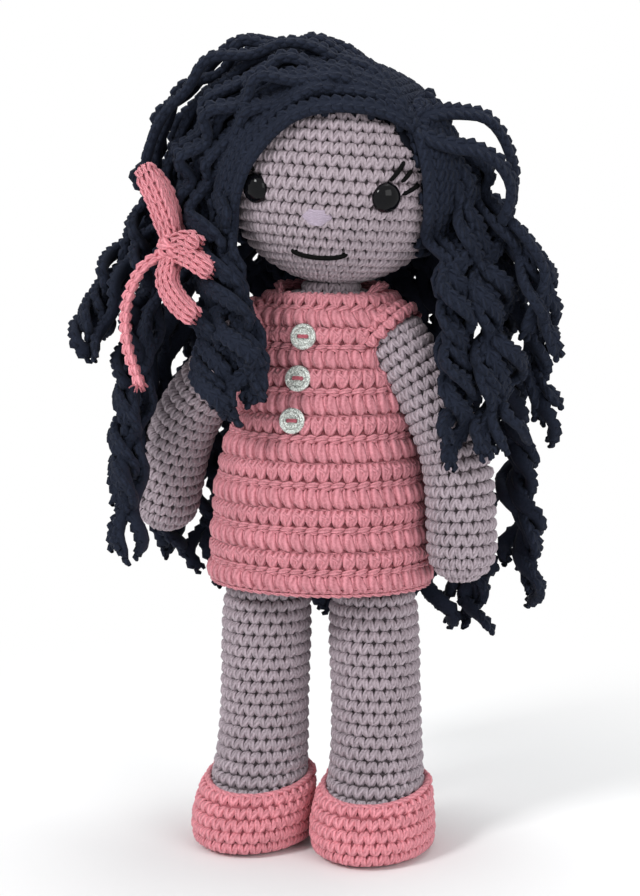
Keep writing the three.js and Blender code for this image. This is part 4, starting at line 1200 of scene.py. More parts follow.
@dataclass
class Dress(SubAssembly):
    """The flared dress with cap sleeves, worked in posts with a groove between the repeats."""

    hem_z: float = 112.0
    hem: tuple[float, float] = (46.5, 37.0)
    sleeve_z: float = 221.0
    sleeve_half_width: float = 35.5
    yoke_top_z: float = 235.0
    neckline: tuple[float, float] = (22.0, 14.0)
    wall: float = 3.4
    chest: tuple[float, float] = (29.0, 20.0)
    chest_z: float = 208.0
    grooves: tuple[float, ...] = (112.8, 129.5, 147.0, 165.5, 184.5, 203.0, 219.5, 236.0)
    post_width: float = 5.3
    post_overlap: float = 1.08
    sunk: float = 0.9
    bar_sunk: float = 0.6
    depth: float = 3.2                   # how deep the solid may lie behind a stitch
    armhole_z: float = 207.0
    edge_size: tuple[float, ...] = (0.558, 0.8, 0.95)
    shoulder: tuple[float, float, float] = (30.0, 213.0, -5.0)
    sleeve_radius: float = 15.4
    sleeve_edge: float = 2.5

    def surface(self) -> Surface:
        """The outside of the dress without its openings.

        Returns:
            The surface, from the hem up.
        """
        hem, chest = np.array(self.hem), np.array(self.chest)
        up = lambda share: self.hem_z + (self.sleeve_z - self.hem_z) * share
        rows = [(up(0), *hem), (up(0.18), *(hem * (0.975, 0.98))), (up(0.4), *(hem * (0.925, 0.93))),
                (up(0.59), *(hem * (0.825, 0.84))), (up(0.76), *(hem * (0.755, 0.745))),
                (self.chest_z, chest[0] + self.wall + 0.9, chest[1] + self.wall + 1.2),
                (self.sleeve_z, self.sleeve_half_width, chest[1] + 0.73 * self.wall),
                (self.sleeve_z + 0.57 * (self.yoke_top_z - self.sleeve_z),
                 0.81 * self.sleeve_half_width, 0.97 * chest[1]),
                (self.yoke_top_z, self.neckline[0] + 1, self.neckline[1] + 1)]
        at = section(rows)
        heights = np.linspace(self.hem_z, self.yoke_top_z, 110)
        return Surface(np.array([oval(neck_x(z), 0, z, *at(z)) for z in heights]))

    def build(self) -> None:
        """Works the dress, its grooves and its plain edges."""
        surface, skin = self.surface(), CadSkin("dress")
        kinds = (Stitch.POST, Stitch.LEANING_POST, Stitch.CHAIN, Stitch.BAR)
        singles = {kind: [] for kind in kinds}
        for k, (low, high) in enumerate(zip(self.grooves[:-1], self.grooves[1:])):
            tall = high - low
            begin = surface.at_height(low)
            end = surface.at_height(min(high, self.yoke_top_z))
            grow = (end - begin) / tall if high <= self.yoke_top_z else 1.0
            spots = [
                (Stitch.LEANING_POST, begin + 0.21 * tall * grow, 0.46 * tall / 7.0),
                (Stitch.CHAIN, begin + 0.50 * tall * grow, 1.0),
                (Stitch.POST, begin + 0.76 * tall * grow, 0.41 * tall / 7.0),
                (Stitch.BAR, begin + 0.965 * (end - begin), 0.8)]
            for kind, along, height in spots:
                if along < surface.length[-1] - 0.5:
                    size = (self.post_overlap, 1, height)
                    singles[kind].append(surface.row(along, self.post_width, size, 0.4 * k))
        sleeves = [self.sleeve(side, skin) for side in (LEFT, RIGHT)]
        parts = []
        for kind, rows in singles.items():
            places = Places.joined(rows)
            places = places.kept(skin.covers(places, reach=self.depth, margin=1.2))
            if kind == Stitch.POST:
                places = Places.joined([places, *(posts for posts, _, _ in sleeves)])
            places, loose = places.lifted(-self.sunk), LOOSE
            if kind == Stitch.BAR:
                places, loose = places.lifted(-self.bar_sunk), 0.02
            parts.append(self.maker.lay(kind, places, ROSE, loose))
        edges = self.openings(surface, skin) + [(line, out) for _, line, out in sleeves]
        parts += [self.edge(line, out) for line, out in edges]
        stitches = joined_piece("dress_stitches", [(mesh, ROSE.material()) for mesh in parts])
        # the dress cloth behind the stitches is painted in the rose yarn's shade
        cloth = joined_piece("dress_cloth", [(skin.ground("dress_ground", 0.7), ROSE.material(True))])
        self.finish(cloth, "torso", ROSE.slot, "dress")
        self.finish(stitches, "torso", ROSE.slot)

    def sleeve(self, side: int, skin: CadSkin) -> tuple[Places, Array, Array]:
        """A cap sleeve, which lies round the shoulder like a slice of a ball.

        Args:
            side: the sleeve's side.
            skin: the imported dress.
        Returns:
            Its rows of posts, its slanted edge and the way out along that edge.
        """
        middle = np.array([neck_x(self.shoulder[1]) + side * self.shoulder[0], *self.shoulder[2:],
                           self.shoulder[1]])
        axis, aside = unit(np.array([[-side, 0.0, 1.0], [side, 0.0, 1.0]]))
        ahead = np.array([0.0, 1.0, 0.0])

        def ring(tilt: float, angles: Array) -> Array:
            """Points of the ball's ring at a tilt from its axis."""
            flat = np.cos(angles)[:, None] * aside + np.sin(angles)[:, None] * ahead * side
            return middle + self.sleeve_radius * (math.cos(tilt) * axis + math.sin(tilt) * flat)

        rim = math.acos(self.sleeve_edge / self.sleeve_radius)
        round_it = np.radians(np.linspace(0, 360, 90, endpoint=False))
        surface = Surface(np.array([ring(tilt, round_it) for tilt in np.linspace(rim, 0.25, 24)]))
        places = surface.rows(4.3, self.post_width, 0.9, slant=0.3, size=(self.post_overlap, 1, 0.64))
        places = places.kept(skin.covers(places, reach=2.2, margin=0.6))
        line = smooth_line(ring(rim, np.radians(np.arange(-112, 113, 8))), EDGE_STEP)
        out = unit(line - middle)
        spots = Places(line, np.tile(axis, (len(line), 1)), out, np.ones(line.shape))
        seen = skin.covers(spots.lifted(-0.4), reach=2.6)
        return places, line[seen], out[seen]

    def edge(self, line: Array, out: Array) -> bpy.types.Mesh:
        """A plain chain along an edge.

        Args:
            line: the edge.
            out: which way it faces.
        Returns:
            The chain's mesh.
        """
        along, outward = line_frames(line, out)
        places = Places(line, along, outward, np.full(line.shape, self.edge_size))
        return self.maker.lay(Stitch.LINK, places, ROSE, 0.04)

    def openings(self, surface: Surface, skin: CadSkin) -> list[tuple[Array, Array]]:
        """The edges of the armholes, the neckline and the hem.

        Args:
            surface: the outside of the dress.
            skin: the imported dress.
        Returns:
            Each edge's line and its outward directions.
        """
        found = []
        for side in (LEFT, RIGHT):
            points = self.armhole(side, surface, skin)
            if len(points) > 8:
                line = np.array(points)
                line = (np.roll(line, 1, axis=0) + 2 * line + np.roll(line, -1, axis=0)) / 4
                line = smooth_line(closed(line), EDGE_STEP)[:-1]
                found.append((line, unit(line - [neck_x(205), 0, 205]) * [1, 1, 0.2]))
        line = smooth_line(closed(np.array(self.neck_edge(surface, skin))), EDGE_STEP)[:-1]
        found.append((line, unit(line - [neck_x(230), 0, 205.0])))
        line = smooth_line(closed(surface.ring(0.6)[::3]), EDGE_STEP)[:-1]
        out = unit(line - [0, 0, self.hem_z])
        found.append((line - 1.3 * out, out))
        return found

    def armhole(self, side: int, surface: Surface, skin: CadSkin) -> list[Array]:
        """The points where cloth begins round an arm.

        Args:
            side: the arm's side.
            surface: the outside of the dress.
            skin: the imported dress.
        Returns:
            The points.
        """
        start, number = surface.at_height(self.armhole_z), surface.rings.shape[1]
        points = []
        for angle in np.radians(np.arange(0, 360, 9)):
            for reach in np.arange(3.0, 40.0, 0.5):
                along = start + reach * math.sin(angle)
                if along >= surface.length[-1] - 0.6:
                    break
                ring = surface.ring(along)
                radius = float(np.linalg.norm(ring[0] - ring[number // 2])) / 2
                turn = reach * math.cos(angle) / radius + (0 if side == LEFT else math.pi)
                at = ring[int(round(turn / (2 * math.pi) * number)) % number]
                out = unit(at - [neck_x(at[2]), 0, at[2]])
                if skin.behind(at, out, self.depth):
                    points.append(at - 1.2 * out)
                    break
        return points

    def neck_edge(self, surface: Surface, skin: CadSkin) -> list[Array]:
        """The points where cloth begins below the neck.

        Args:
            surface: the outside of the dress.
            skin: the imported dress.
        Returns:
            The points.
        """
        points = []
        for index in range(0, surface.rings.shape[1], 4):
            for along in np.arange(surface.length[-1] - 0.2, surface.length[-1] - 14, -0.5):
                at = surface.ring(along)[index]
                out = unit(np.array([at[0] - neck_x(at[2]), at[1], 6.0]))
                if skin.behind(at, out, 4.5):
                    points.append(at - 1.0 * out)
                    break
        return points


# Head


@dataclass
class Head(SubAssembly):
    """The stuffed head with its face."""

    radius: float = 46.0
    half_height: float = 42.0
    x: float = 8.0
    z: float = 279.0
    roll: float = 4.0
    face_azimuth: float = 6.5
    eye_azimuth: float = 34.0
    eye_height: float = -5.0
    eye_radius: float = 6.0
    eye_dome: float = 3.9
    eye_shank: tuple = ((0.01, -9.0), (1.7, -9.0), (2.0, -8.4), (2.0, 0.2), (5.3, 0.2), (5.8, 0.45))
    nose_height: float = -14.0
    mouth_height: float = -28.0
    mouth_half_width: float = 11.5
    mouth_sag: float = 1.6
    mouth_radius: float = 1.15
    lash_radius: float = 0.95
    nose: tuple[float, float] = (5.9, 3.3)
    nose_threads: int = 9
    nose_radius: float = 0.62
    lashes: tuple = (((1.0, 6.4), (7.2, 13.9)), ((5.9, 6.2), (10.4, 10.8)), ((6.8, 1.5), (14.4, 5.6)))

    def placed(self, points: Array) -> Array:
        """Points of the head's own frame in the doll's frame."""
        turn = np.array(Matrix.Rotation(math.radians(self.roll), 3, "Y"))
        return np.asarray(points) @ turn.T + [self.x, 0, self.z]

    def on(self, azimuth: float, height: float, out: float = 0.0) -> Array:
        """A point over the head, in the head's frame.

        Args:
            azimuth: from the front towards the doll's left, in degrees.
            height: over the head's middle.
            out: how far it stands off.
        Returns:
            The point.
        """
        a = math.radians(azimuth)
        reach = math.sqrt(max(0.0, 1 - (height / self.half_height) ** 2)) * self.radius
        point = np.array([reach * math.sin(a), -reach * math.cos(a), height])
        normal = unit(point / [self.radius**2, self.radius**2, self.half_height**2])
        return point + normal * out

    def on_face(self, azimuth: float, height: float, side: float, up: float, out: float) -> Array:
        """A point that stands off the face, to the left of and above a place on it."""
        here = self.on(azimuth, height)
        return self.on(azimuth + math.degrees(side / math.hypot(here[0], here[1])), height + up, out)

    def rings(self, grow: float = 0.0) -> Array:
        """Level rings of the head's ball, from the neck up.

        Args:
            grow: how much larger it is all round.
        Returns:
            The rings, in the doll's frame.
        """
        rows = []
        for angle in np.radians(np.linspace(-88, 88, 60)):
            reach = (self.radius + grow) * math.cos(angle)
            rows.append(oval(0, 0, (self.half_height + grow) * math.sin(angle), reach, reach))
        return self.placed(np.array(rows))

    def build(self) -> None:
        """Works the head in rounds and gives it its face."""
        surface = Surface(self.rings())
        places = surface.rows(SINGLE_PITCH, SINGLE_WIDTH, start=3, end=surface.length[-1] - 2,
                              slant=0.53).lifted(-SUNK)
        stitches = self.maker.lay(Stitch.SINGLE, places, SKIN, LOOSE)
        ball = self.knit("head_knit", "head", SKIN, surface.ground("head_ground", GROUND_DEPTH, 72),
                         [stitches], "head_cover", "head_filling")
        self.build_eyes()
        self.build_threads()

    def build_eyes(self) -> None:
        """Turns the two domed safety eyes with their shanks."""
        finish = EyeGloss().material()
        profile = [*self.eye_shank]
        profile += [(self.eye_radius * math.cos(a), 1.0 + self.eye_dome * math.sin(a))
                    for a in np.radians(np.linspace(-6, 89.5, 16))]
        for side, name in SIDES.items():
            azimuth = self.face_azimuth + side * self.eye_azimuth
            at = self.on(azimuth, self.eye_height)
            out = self.on(azimuth, self.eye_height, 1.0) - at
            turn = np.array(Vector((0, 0, 1)).rotation_difference(Vector(out)).to_matrix())
            rings = np.array([self.placed(oval(0, 0, h, r, r, 40) @ turn.T + at) for r, h in profile])
            mesh = Surface(rings).ground(f"{name}_eye_mesh", 0.0, 40)
            piece = joined_piece(f"{name}_safety_eye", [(mesh, finish)])
            self.finish(piece, "head", "eye_gloss", f"{name}_eye")

    def thread(self, points: Sequence[Array], radius: float) -> Strand:
        """A thread through points of the head's frame.

        Args:
            points: the points.
            radius: its radius.
        Returns:
            The strand, in the frame's millimetres.
        """
        line = smooth_line(self.placed(np.array(points)), 1.0)
        radii = np.full(len(line), radius)
        radii[[0, -1]] *= 0.45
        return Strand(tuple(map(tuple, line + STAND)), tuple(radii))

    def sew(self, name: str, strands: Sequence[Strand], sides: int, yarn: Yarn, node: str) -> None:
        """Finishes a piece of sewn threads, with some faces round each."""
        piece = joined_piece(name, [(yarn_mesh("threads", strands, sides), yarn.material())])
        self.finish(piece, "head", yarn.slot, node)

    def build_threads(self) -> None:
        """Sews the lashes, the mouth and the nose."""
        for side, name in SIDES.items():
            azimuth = self.face_azimuth + side * self.eye_azimuth
            for k, (start, end) in enumerate(self.lashes, 1):
                middle = tuple(np.mean([start, end], axis=0))
                way = [self.on_face(azimuth, self.eye_height, side * x, z, out)
                       for (x, z), out in ((start, 1.0), (middle, 1.7), (end, 1.2))]
                self.sew(f"{name}_lash_thread_{k}", [self.thread(way, self.lash_radius)], 8, BLACK,
                         f"{name}_lash_{k}")
        mouth = [self.on_face(self.face_azimuth, self.mouth_height, s * self.mouth_half_width,
                              -self.mouth_sag * (1 - s * s), 1.6 - 0.9 * abs(s) ** 6)
                 for s in np.linspace(-1, 1, 9)]
        self.sew("mouth_thread", [self.thread(mouth, self.mouth_radius)], 8, BLACK, "mouth_stitch")
        strands = []
        half_width, half_height = self.nose
        for k in range(self.nose_threads):
            up = (k - self.nose_threads // 2) * self.nose_radius
            half = half_width * math.sqrt(max(0.1, 1 - (up / half_height) ** 2))
            lean = 0.5 * math.sin(k * 2.1)
            points = [self.on_face(self.face_azimuth, self.nose_height, x * half, up + lean * 0.3 * x,
                                   out)
                      for x, out in ((-1, 0.2), (-0.5, 1.5), (0, 1.9), (0.5, 1.5), (1, 0.2))]
            strands.append(self.thread(points, self.nose_radius))
        self.sew("nose_satin", strands, 6, LILAC, "nose_stitches")


# Hair


@dataclass
class Hair(SubAssembly):
    """The wig: a crocheted cap and the crinkled chains that hang from it."""

    head: Head | None = None
    cap_wall: float = 3.1
    parting: tuple = ((42.0, -27.0, 24.0), (24.0, 46.0, 16.0))
    parting_rows: float = 5.6
    left_rim: tuple[float, float] = (66.0, 172.0)
    right_rim: tuple[float, float] = (-47.0, -168.0)
    sweep: float = 0.44
    wave_length: float = 29.0
    wave_height: float = 4.5
    twist: float = 45.0
    strand_radius: float = 3.2
    link_pitch: float = 4.2
    core_radius: float = 3.5
    core_flatness: float = 0.58
    cap_points: int = 16                 # points of a strand's way over the cap, before it hangs
    left_hooked: float = 0.28
    # Each strand of a lock: how far beside its middle, in locks, and how far over the cap.
    strands: tuple = ((-0.30, 0.0), (0.30, 0.0), (-0.05, 4.2), (0.45, 3.8), (0.12, 1.6))
    # Each lock's end: azimuth, distance and height, and how far it stands off at the rim.
    left_ends: tuple = (
        (70, 60, 172, 0), (80, 72, 164, 2), (92, 90, 212, 4), (106, 87, 178, 4),
        (122, 84, 104, 3), (139, 72, 90, 2), (155, 65, 86, 0), (170, 60, 95, 0))
    right_ends: tuple = (
        (-26, 54, 188, 0), (-40, 60, 190, 5), (-62, 92, 128, 20), (-75, 104, 206, 26),
        (-90, 94, 142, 26), (-108, 94, 120, 19), (-122, 84, 106, 12), (-140, 71, 98, 5),
        (-157, 63, 92, 1))
    # Azimuths and heights of the strands beside the face and of the cap's front edge.
    right_fringe: tuple = (
        (53, 19.5), (41, 24), (25, 26), (9, 26), (-5, 23.5), (-15, 18.5), (-23, 11.5), (-30, 4),
        (-37, -6), (-45, -16))
    left_fringe: tuple = ((57.5, 24), (57.5, 18), (58.5, 10), (60, 0), (63, -12), (69, -22))
    brow: tuple = (
        (-4, 26.1), (5, 26.6), (25, 26.2), (33.5, 25.5), (41.7, 24.3), (48, 22), (54, 15.5),
        (57.5, 7.5), (59, 0), (60, -8), (70, -24))
    # Strands that loop loosely, by side, lock and strand, from the head's middle.
    loose_ways: dict = field(default_factory=lambda: {
        (LEFT, 1, 2): ((38, -25, 22.5), (44.5, -18, 25.5), (52.6, -10, 26), (61.8, -4, 24),
                       (67.9, 0, 16.7), (72, 2, 4.4), (71, 4, -8), (67.4, 6, -22)),
        (LEFT, 1, 3): ((38, -26, 20), (42, -26, 17), (46.4, -24, 14.7), (53.9, -20, 12.6),
                       (60.9, -15, 11.4), (69.2, -10, 5.7), (73.2, -6, -3.8), (70.4, -4, -14)),
        (LEFT, 2, 2): ((71.4, 0, -17), (78.6, 0, -24.3), (85.5, 0, -34.5), (86.4, 0, -42.7),
                       (82, 0, -53), (77.8, 0, -63)),
    })

    def build(self) -> None:
        """Works the cap, then hooks in the strands lock by lock."""
        self.build_cap()
        spread = np.random.default_rng(41)
        for side, rims, ends in ((LEFT, self.left_rim, self.left_ends),
                                 (RIGHT, self.right_rim, self.right_ends)):
            for k, end in enumerate(ends):
                self.build_lock(side, k, len(ends), rims, np.array(end, float), spread)

    def build_cap(self) -> None:
        """Works the cap in single crochet, over the head and round the face."""
        surface = Surface(self.head.rings(self.cap_wall))
        skin = CadSkin("wig_cap")
        places = surface.rows(SINGLE_PITCH, SINGLE_WIDTH).lifted(-0.8)
        places = places.kept(skin.covers(places, reach=2.6, margin=0.8) & ~self.bare(places.at))
        stitches = self.maker.lay(Stitch.SINGLE, places, HAIR)
        ground = skin.ground("cap_ground", 1.0)
        without_faces(ground, self.bare)
        self.knit("cap_knit", "head", HAIR, ground, [stitches], "wig_cap")

    def bare(self, points: Array) -> Array:
        """Where the forehead shows below the front edge of the cap.

        Args:
            points: points on the cap, in the doll's frame.
        Returns:
            A boolean for each point.
        """
        d = points - [self.head.x, 0, self.head.z]
        azimuth = np.degrees(np.arctan2(d[:, 0], -d[:, 1]))
        return d[:, 2] < np.interp(azimuth, *zip(*self.brow), left=-99, right=-99)

    def on_cap(self, direction: Array, seat: float) -> Array:
        """The point over the cap in a direction from the head's middle.

        Args:
            direction: the direction.
            seat: how far over the cap.
        Returns:
            The point, in the doll's frame.
        """
        d = unit(direction)
        a = self.head.radius + self.cap_wall + seat
        b = self.head.half_height + self.cap_wall + seat
        reach = 1 / math.sqrt((d[0] ** 2 + d[1] ** 2) / a**2 + d[2] ** 2 / b**2)
        return d * reach + [self.head.x, 0, self.head.z]

    def route(self, side: int, share: float, rim_azimuth: float, end: Array, phase: float,
              layer: float, crinkle: float) -> Array:
        """The middle line of a strand.

        Args:
            side: the side of the parting.
            share: how far back its root is along the parting.
            rim_azimuth: where it passes the cap's rim.
            end: azimuth, distance and height of its end, and how far it stands off at the rim.
            phase: where its waves begin.
            layer: how far it lies over the cap.
            crinkle: height of its waves against the usual.
        Returns:
            The line's points.
        """
        head = self.head
        front, back = np.array(self.parting)
        root = front * (1 - share) + back * share + [side * self.parting_rows / 2, 0, 0]
        a = math.radians(rim_azimuth)
        rim = np.array([math.sin(a), -math.cos(a), -0.12]) * head.radius
        near = np.interp(float(smooth(share, 0, 0.25)), (0, 1), (0.45, 1))
        rise = np.interp(share, (0, 1), (1, 0.3)) * near
        lift = self.sweep * rise if side == RIGHT else 0.0
        points, travelled = [], 0.0
        hooked = 0.0 if side == RIGHT or share < 0.1 else self.left_hooked
        for s in np.linspace(hooked, 1, self.cap_points):
            way = root * (1 - s) + rim * s
            way[2] += lift * head.radius * 4 * s * (1 - s)
            grown = float(smooth(s, *((0.25, 0.6) if side == RIGHT else (0.3, 1))))
            bump = 0.5 * self.wave_height * crinkle * grown * (1 + math.sin(
                2 * math.pi * travelled / self.wave_length + phase))
            spread = (0.2, 0.75) if side == RIGHT else (0.2, 0.9)
            seat = 0.5 + 1.2 * float(smooth(s, 0.25, 0.5)) + layer * float(smooth(s, *spread)) + bump
            seat += end[3] * float(smooth(s, 0.3, 1))
            point = self.on_cap(way, seat)
            if points:
                travelled += float(np.linalg.norm(point - points[-1]))
            points.append(point)
        last = points[-1]
        rim_out = math.hypot(last[0] - head.x, last[1])
        drop = last[2] - end[2]
        turns = max(3, int(round(drop / (self.wave_length / 5))))
        for k in range(1, turns + 1):
            s = k / turns
            azimuth = math.radians(rim_azimuth + (end[0] - rim_azimuth) * float(smooth(s, 0, 1)))
            out = rim_out + (end[1] - rim_out) * math.sin(s * math.pi / 2)
            turn = 2 * math.pi * (travelled + s * drop) / self.wave_length + phase
            wave = self.wave_height * crinkle * math.sin(turn)
            sway = 0.5 * self.wave_height * crinkle * math.cos(turn)
            points.append(np.array([
                head.x + (out + sway) * math.sin(azimuth) + wave * math.cos(azimuth),
                -(out + sway) * math.cos(azimuth) + wave * math.sin(azimuth),
                last[2] - drop * s]))
        return np.array(points)

    def swept(self, side: int, way: Array, higher: float) -> Array:
        """A front strand's way, laid along the edge of the face.

        Args:
            side: the side of the parting.
            way: the strand's usual way over the cap and down.
            higher: how far it lies behind the first strand of the fringe.
        Returns:
            The line's points.
        """
        points = [way[0]]
        for azimuth, height in self.right_fringe if side == RIGHT else self.left_fringe:
            aside, rise = (-0.35, 0.9) if side == RIGHT else (0.95, 0.25)
            a, up = math.radians(azimuth + aside * higher), height + rise * higher
            flat = math.sqrt(max(0.05, 1 - (up / (self.head.half_height + 4)) ** 2)) * self.head.radius
            direction = np.array([flat * math.sin(a), -flat * math.cos(a), up])
            points.append(self.on_cap(direction, 0.8 * self.strand_radius + 0.1 * higher))
        low = points[-1][2]
        return np.vstack([points, [p for p in way[self.cap_points:] if p[2] < low - 6]])

    def core(self, line: Array, away: Array) -> bpy.types.Mesh:
        """The flat back of a chain, on which its links lie.

        Args:
            line: the strand's middle line.
            away: the way out from the head at each point.
        Returns:
            The mesh.
        """
        station = stations(line)
        radii = domed(station[-1], station, np.full(len(line), self.core_radius))
        rings = round_limb(line, radii, unit(away), 10, self.core_flatness)
        return Surface(rings).ground("core", 0.0, 10)

    def build_lock(self, side: int, k: int, count: int, rims: tuple[float, float], end: Array,
                   spread: np.random.Generator) -> None:
        """Hooks in the strands of one lock.

        Args:
            side: the side of the parting.
            k: the lock's number, from the front.
            count: how many locks the side has.
            rims: azimuths of the first and last lock at the rim.
            end: the lock's end.
            spread: the source of small differences.
        """
        places, cores = [], []
        for j, (aside, layer) in enumerate(self.strands):
            share = float(np.clip((k + aside) / (count - 1), 0, 1))
            rim = rims[0] + (rims[1] - rims[0]) * share
            stray = spread.uniform(-1, 1, 4)
            own = end + np.array([5 * aside * 2 * np.sign(rims[1]) + 3 * stray[0],
                                  layer * 0.5 - 3.5 + 5 * stray[1], 9 * stray[2], 0])
            own[3] *= 0.6 + 0.1 * layer
            if j == 3:
                own[2] += 16 + 10 * stray[3]
            way = self.route(side, share, rim, own, 0.7 * j + 1.3 * k + 0.5 * stray[3], layer,
                             (1.95 if j in (2, 3) else 1.05) + 0.25 * stray[0])
            if k == 0:
                way = self.swept(side, way, 6.5 * (1.5 if j == 4 else j))
            if (side, k, j) in self.loose_ways:
                loop = np.array(self.loose_ways[side, k, j]) + [self.head.x, 0, self.head.z]
                over, falling = way[:self.cap_points], way[self.cap_points:]
                way = np.vstack([over[over[:, 2] > loop[0, 2] + 4], loop,
                                 falling[falling[:, 2] < loop[:, 2].min() - 6]])
            line = smooth_line(way, self.link_pitch)
            middle = np.array([self.head.x, 0.0, 0.0]) + [0, 0, 1] * line[:, 2:3]
            over = line[:, 2] > self.head.z
            away = np.where(over[:, None], line - [self.head.x, 0, self.head.z], line - middle)
            hanging = smooth(-line[:, 2], -262, -225)
            turn = math.radians(self.twist) * np.sin(line[:, 2] / 17 + 0.9 * j + k) * hanging
            level, square = away[:, :2], away[:, 1::-1] * [-1, 1]
            turned = np.cos(turn)[:, None] * level + np.sin(turn)[:, None] * square
            away = np.hstack([turned, away[:, 2:]])
            along, out = line_frames(line, unit(away))
            size = np.full(line.shape, (1.08, 1.25, 0.95))
            size[-1] *= 0.8
            places.append(Places(line, along, out, size))
            cores.append(self.core(line, away))
        stitches = self.maker.lay(Stitch.FLAT_LINK, Places.joined(places), HAIR, 0.06)
        name = SIDES[side]
        piece = joined_piece(f"{name}_strands_{k + 1}",
                             [(mesh, HAIR.material()) for mesh in (stitches, *cores)])
        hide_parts(f"hair_{name}_{k + 1}")
        neck = np.array([4.0, 0, 0]) + STAND
        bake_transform(piece, "head", "torso", start=tuple((neck + [0, 0, 262]) * MM),
                 end=tuple((neck + [0, 0, 205]) * MM))
        LOG.info("%s: %d faces, head to torso", piece.name, len(piece.data.polygons))

    def bow_middle(self) -> Array:
        """Where the bow's knot rests, over the right side's second lock, in the doll's frame."""
        low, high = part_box("bow_knot")
        return np.array((low + high) / 2) / MM - STAND + [0.7, -2.4, 0]


@dataclass
class Bow(SubAssembly):
    """The crocheted cord that is tied round a lock."""

    knot: Array | None = None
    band: tuple[float, float] = (4.3, 1.9)
    tail: tuple[float, float] = (3.7, 2.2)
    knot_radius: float = 5.8
    knot_pitch: float = 4.4
    knot_width: float = 5.0
    cord_pitch: float = 3.7
    facing: tuple[float, ...] = (-0.2, -0.98, 0.0)
    frayed: int = 16
    fray_step: float = 1.7
    ways: dict = field(default_factory=lambda: {
        "upper_loop": ((-1.0, -1.8, 6), (-3.5, -2.8, 14), (-6.5, -3.4, 22), (-10.5, -2.4, 29),
                       (-12.4, 0.4, 31), (-10.5, 3.4, 28), (-6, 4.6, 20), (-1.8, 4.2, 6)),
        "side_loop": ((3.2, -4.4, 3.2), (8, -7.2, 4.2), (13.2, -9, 1.8)),
        "short_tail": ((3.2, -3.4, -1.2), (11, -8, -3.2), (19.5, -11, -8.2)),
        "thick_tail": ((-0.7, -3.9, -5.5), (0, -8.5, -13), (6, -11, -21), (13, -13, -26)),
        "long_tail": ((-5, -3, -2.3), (-12, -6, -8), (-18, -6, -20), (-19.5, -5, -32),
                      (-18.5, -4, -42), (-15, -3, -53)),
    })

    def build(self) -> None:
        """Works the knot, the loops and the tails."""
        rings = []
        for angle in np.radians(np.linspace(-85, 85, 24)):
            reach = self.knot_radius * math.cos(angle)
            rings.append(oval(*self.knot[:2], self.knot[2] + 1.15 * self.knot_radius * math.sin(angle),
                              reach, reach))
        surface = Surface(np.array(rings))
        places = surface.rows(self.knot_pitch, self.knot_width, slant=0.4).turned(70).lifted(-SUNK)
        stitches = self.maker.lay(Stitch.SINGLE, places, PINK, 0.1)
        self.knit("bow_knot_knit", "head", PINK, surface.ground("knot_ground", 1.2, 24), [stitches],
                  "bow_knot")
        for name, way in self.ways.items():
            points = np.array(way, float) + self.knot
            if name == "long_tail":
                parts = self.braid(points)
            else:
                folded = name == "upper_loop"
                half_width, half_depth = self.band if folded else self.tail
                parts = self.flat_band(smooth_line(points, 1.2), half_width, half_depth, folded)
            piece = joined_piece(f"bow_{name}_knit", [(mesh, PINK.material()) for mesh in parts])
            self.finish(piece, "head", PINK.slot, f"bow_{name}")

    def flat_band(self, line: Array, half_width: float, half_depth: float,
                  folded: bool) -> list[bpy.types.Mesh]:
        """A flat crocheted band: columns of chain links side by side on both of its faces.

        Args:
            line: its middle line.
            half_width: half its width.
            half_depth: half its thickness.
            folded: whether it folds back on itself, so that its width keeps one direction.
        Returns:
            Its meshes.
        """
        along = unit(np.gradient(line, axis=0))
        main = unit(line[len(line) // 3] - line[0]) if folded else along
        wide = unit(np.cross(main, self.facing) * np.ones(line.shape))
        wide = unit(wide - along * np.sum(wide * along, axis=1, keepdims=True))
        out = np.cross(wide, along)
        station = stations(line)
        full = domed(station[-1], station, np.full(len(line), half_width)) / half_width
        if folded:
            fold = station[int(np.argmax(line[:, 2]))]
            full = full * (1 - 0.42 * np.exp(-((station - fold) / 4.5) ** 2))
        angles = turns(24)[:, None]
        rings = np.array([p + f * (half_width * np.cos(angles) * w + half_depth * np.sin(angles) * o)
                          for p, f, w, o in zip(line, full, wide, out)])
        several = []
        count = max(1, int(round(station[-1] / self.cord_pitch)))
        middles = (np.arange(count) + 0.5) / count * station[-1]
        at, up, aside, ahead = (
            read_at(middles, station, values) for values in (line, along, wide, out))
        up, aside, ahead = unit(up), unit(aside), unit(ahead)
        column = 2 * half_width / 3
        narrow = np.interp(middles, station, np.maximum(full, 0.55))[:, None]
        for face in (1, -1):
            for k in (-1, 0, 1):
                spot = at + aside * (k * 0.95 * column * narrow)
                spot = spot + face * ahead * (half_depth - 0.25 * abs(k))
                size = np.full(spot.shape, (column / 5.4, 0.8, 1.0))
                several.append(Places(spot, up, unit(face * ahead + 0.25 * k * aside), size))
        stitches = self.maker.lay(Stitch.FLAT_LINK, Places.joined(several), PINK, 0.05)
        return [Surface(rings).ground("band_ground", 0.0, 24), stitches]

    def braid(self, points: Array) -> list[bpy.types.Mesh]:
        """The long tail: a plain chain whose end frays.

        Args:
            points: the points that it passes.
        Returns:
            Its meshes.
        """
        line = smooth_line(points, 4.3)
        along, out = line_frames(line, np.array([-0.5, -0.85, 0.0]))
        size = np.full(line.shape, (0.88, 0.88, 0.92))
        chain = self.maker.lay(Stitch.LINK, Places(line, along, out, size), PINK, 0.06)
        spread = np.random.default_rng(5)
        threads = []
        for _ in range(self.frayed):
            way = [line[-1] + STAND]
            heading = unit(along[-1] + 0.7 * spread.uniform(-1, 1, 3))
            for _ in range(3):
                heading = unit(heading + 0.3 * spread.uniform(-1, 1, 3))
                way.append(way[-1] + self.fray_step * heading)
            threads.append(Strand(tuple(map(tuple, way)), (0.6, 0.5, 0.4, 0.25)))
        return [chain, yarn_mesh("frayed", threads, 5)]


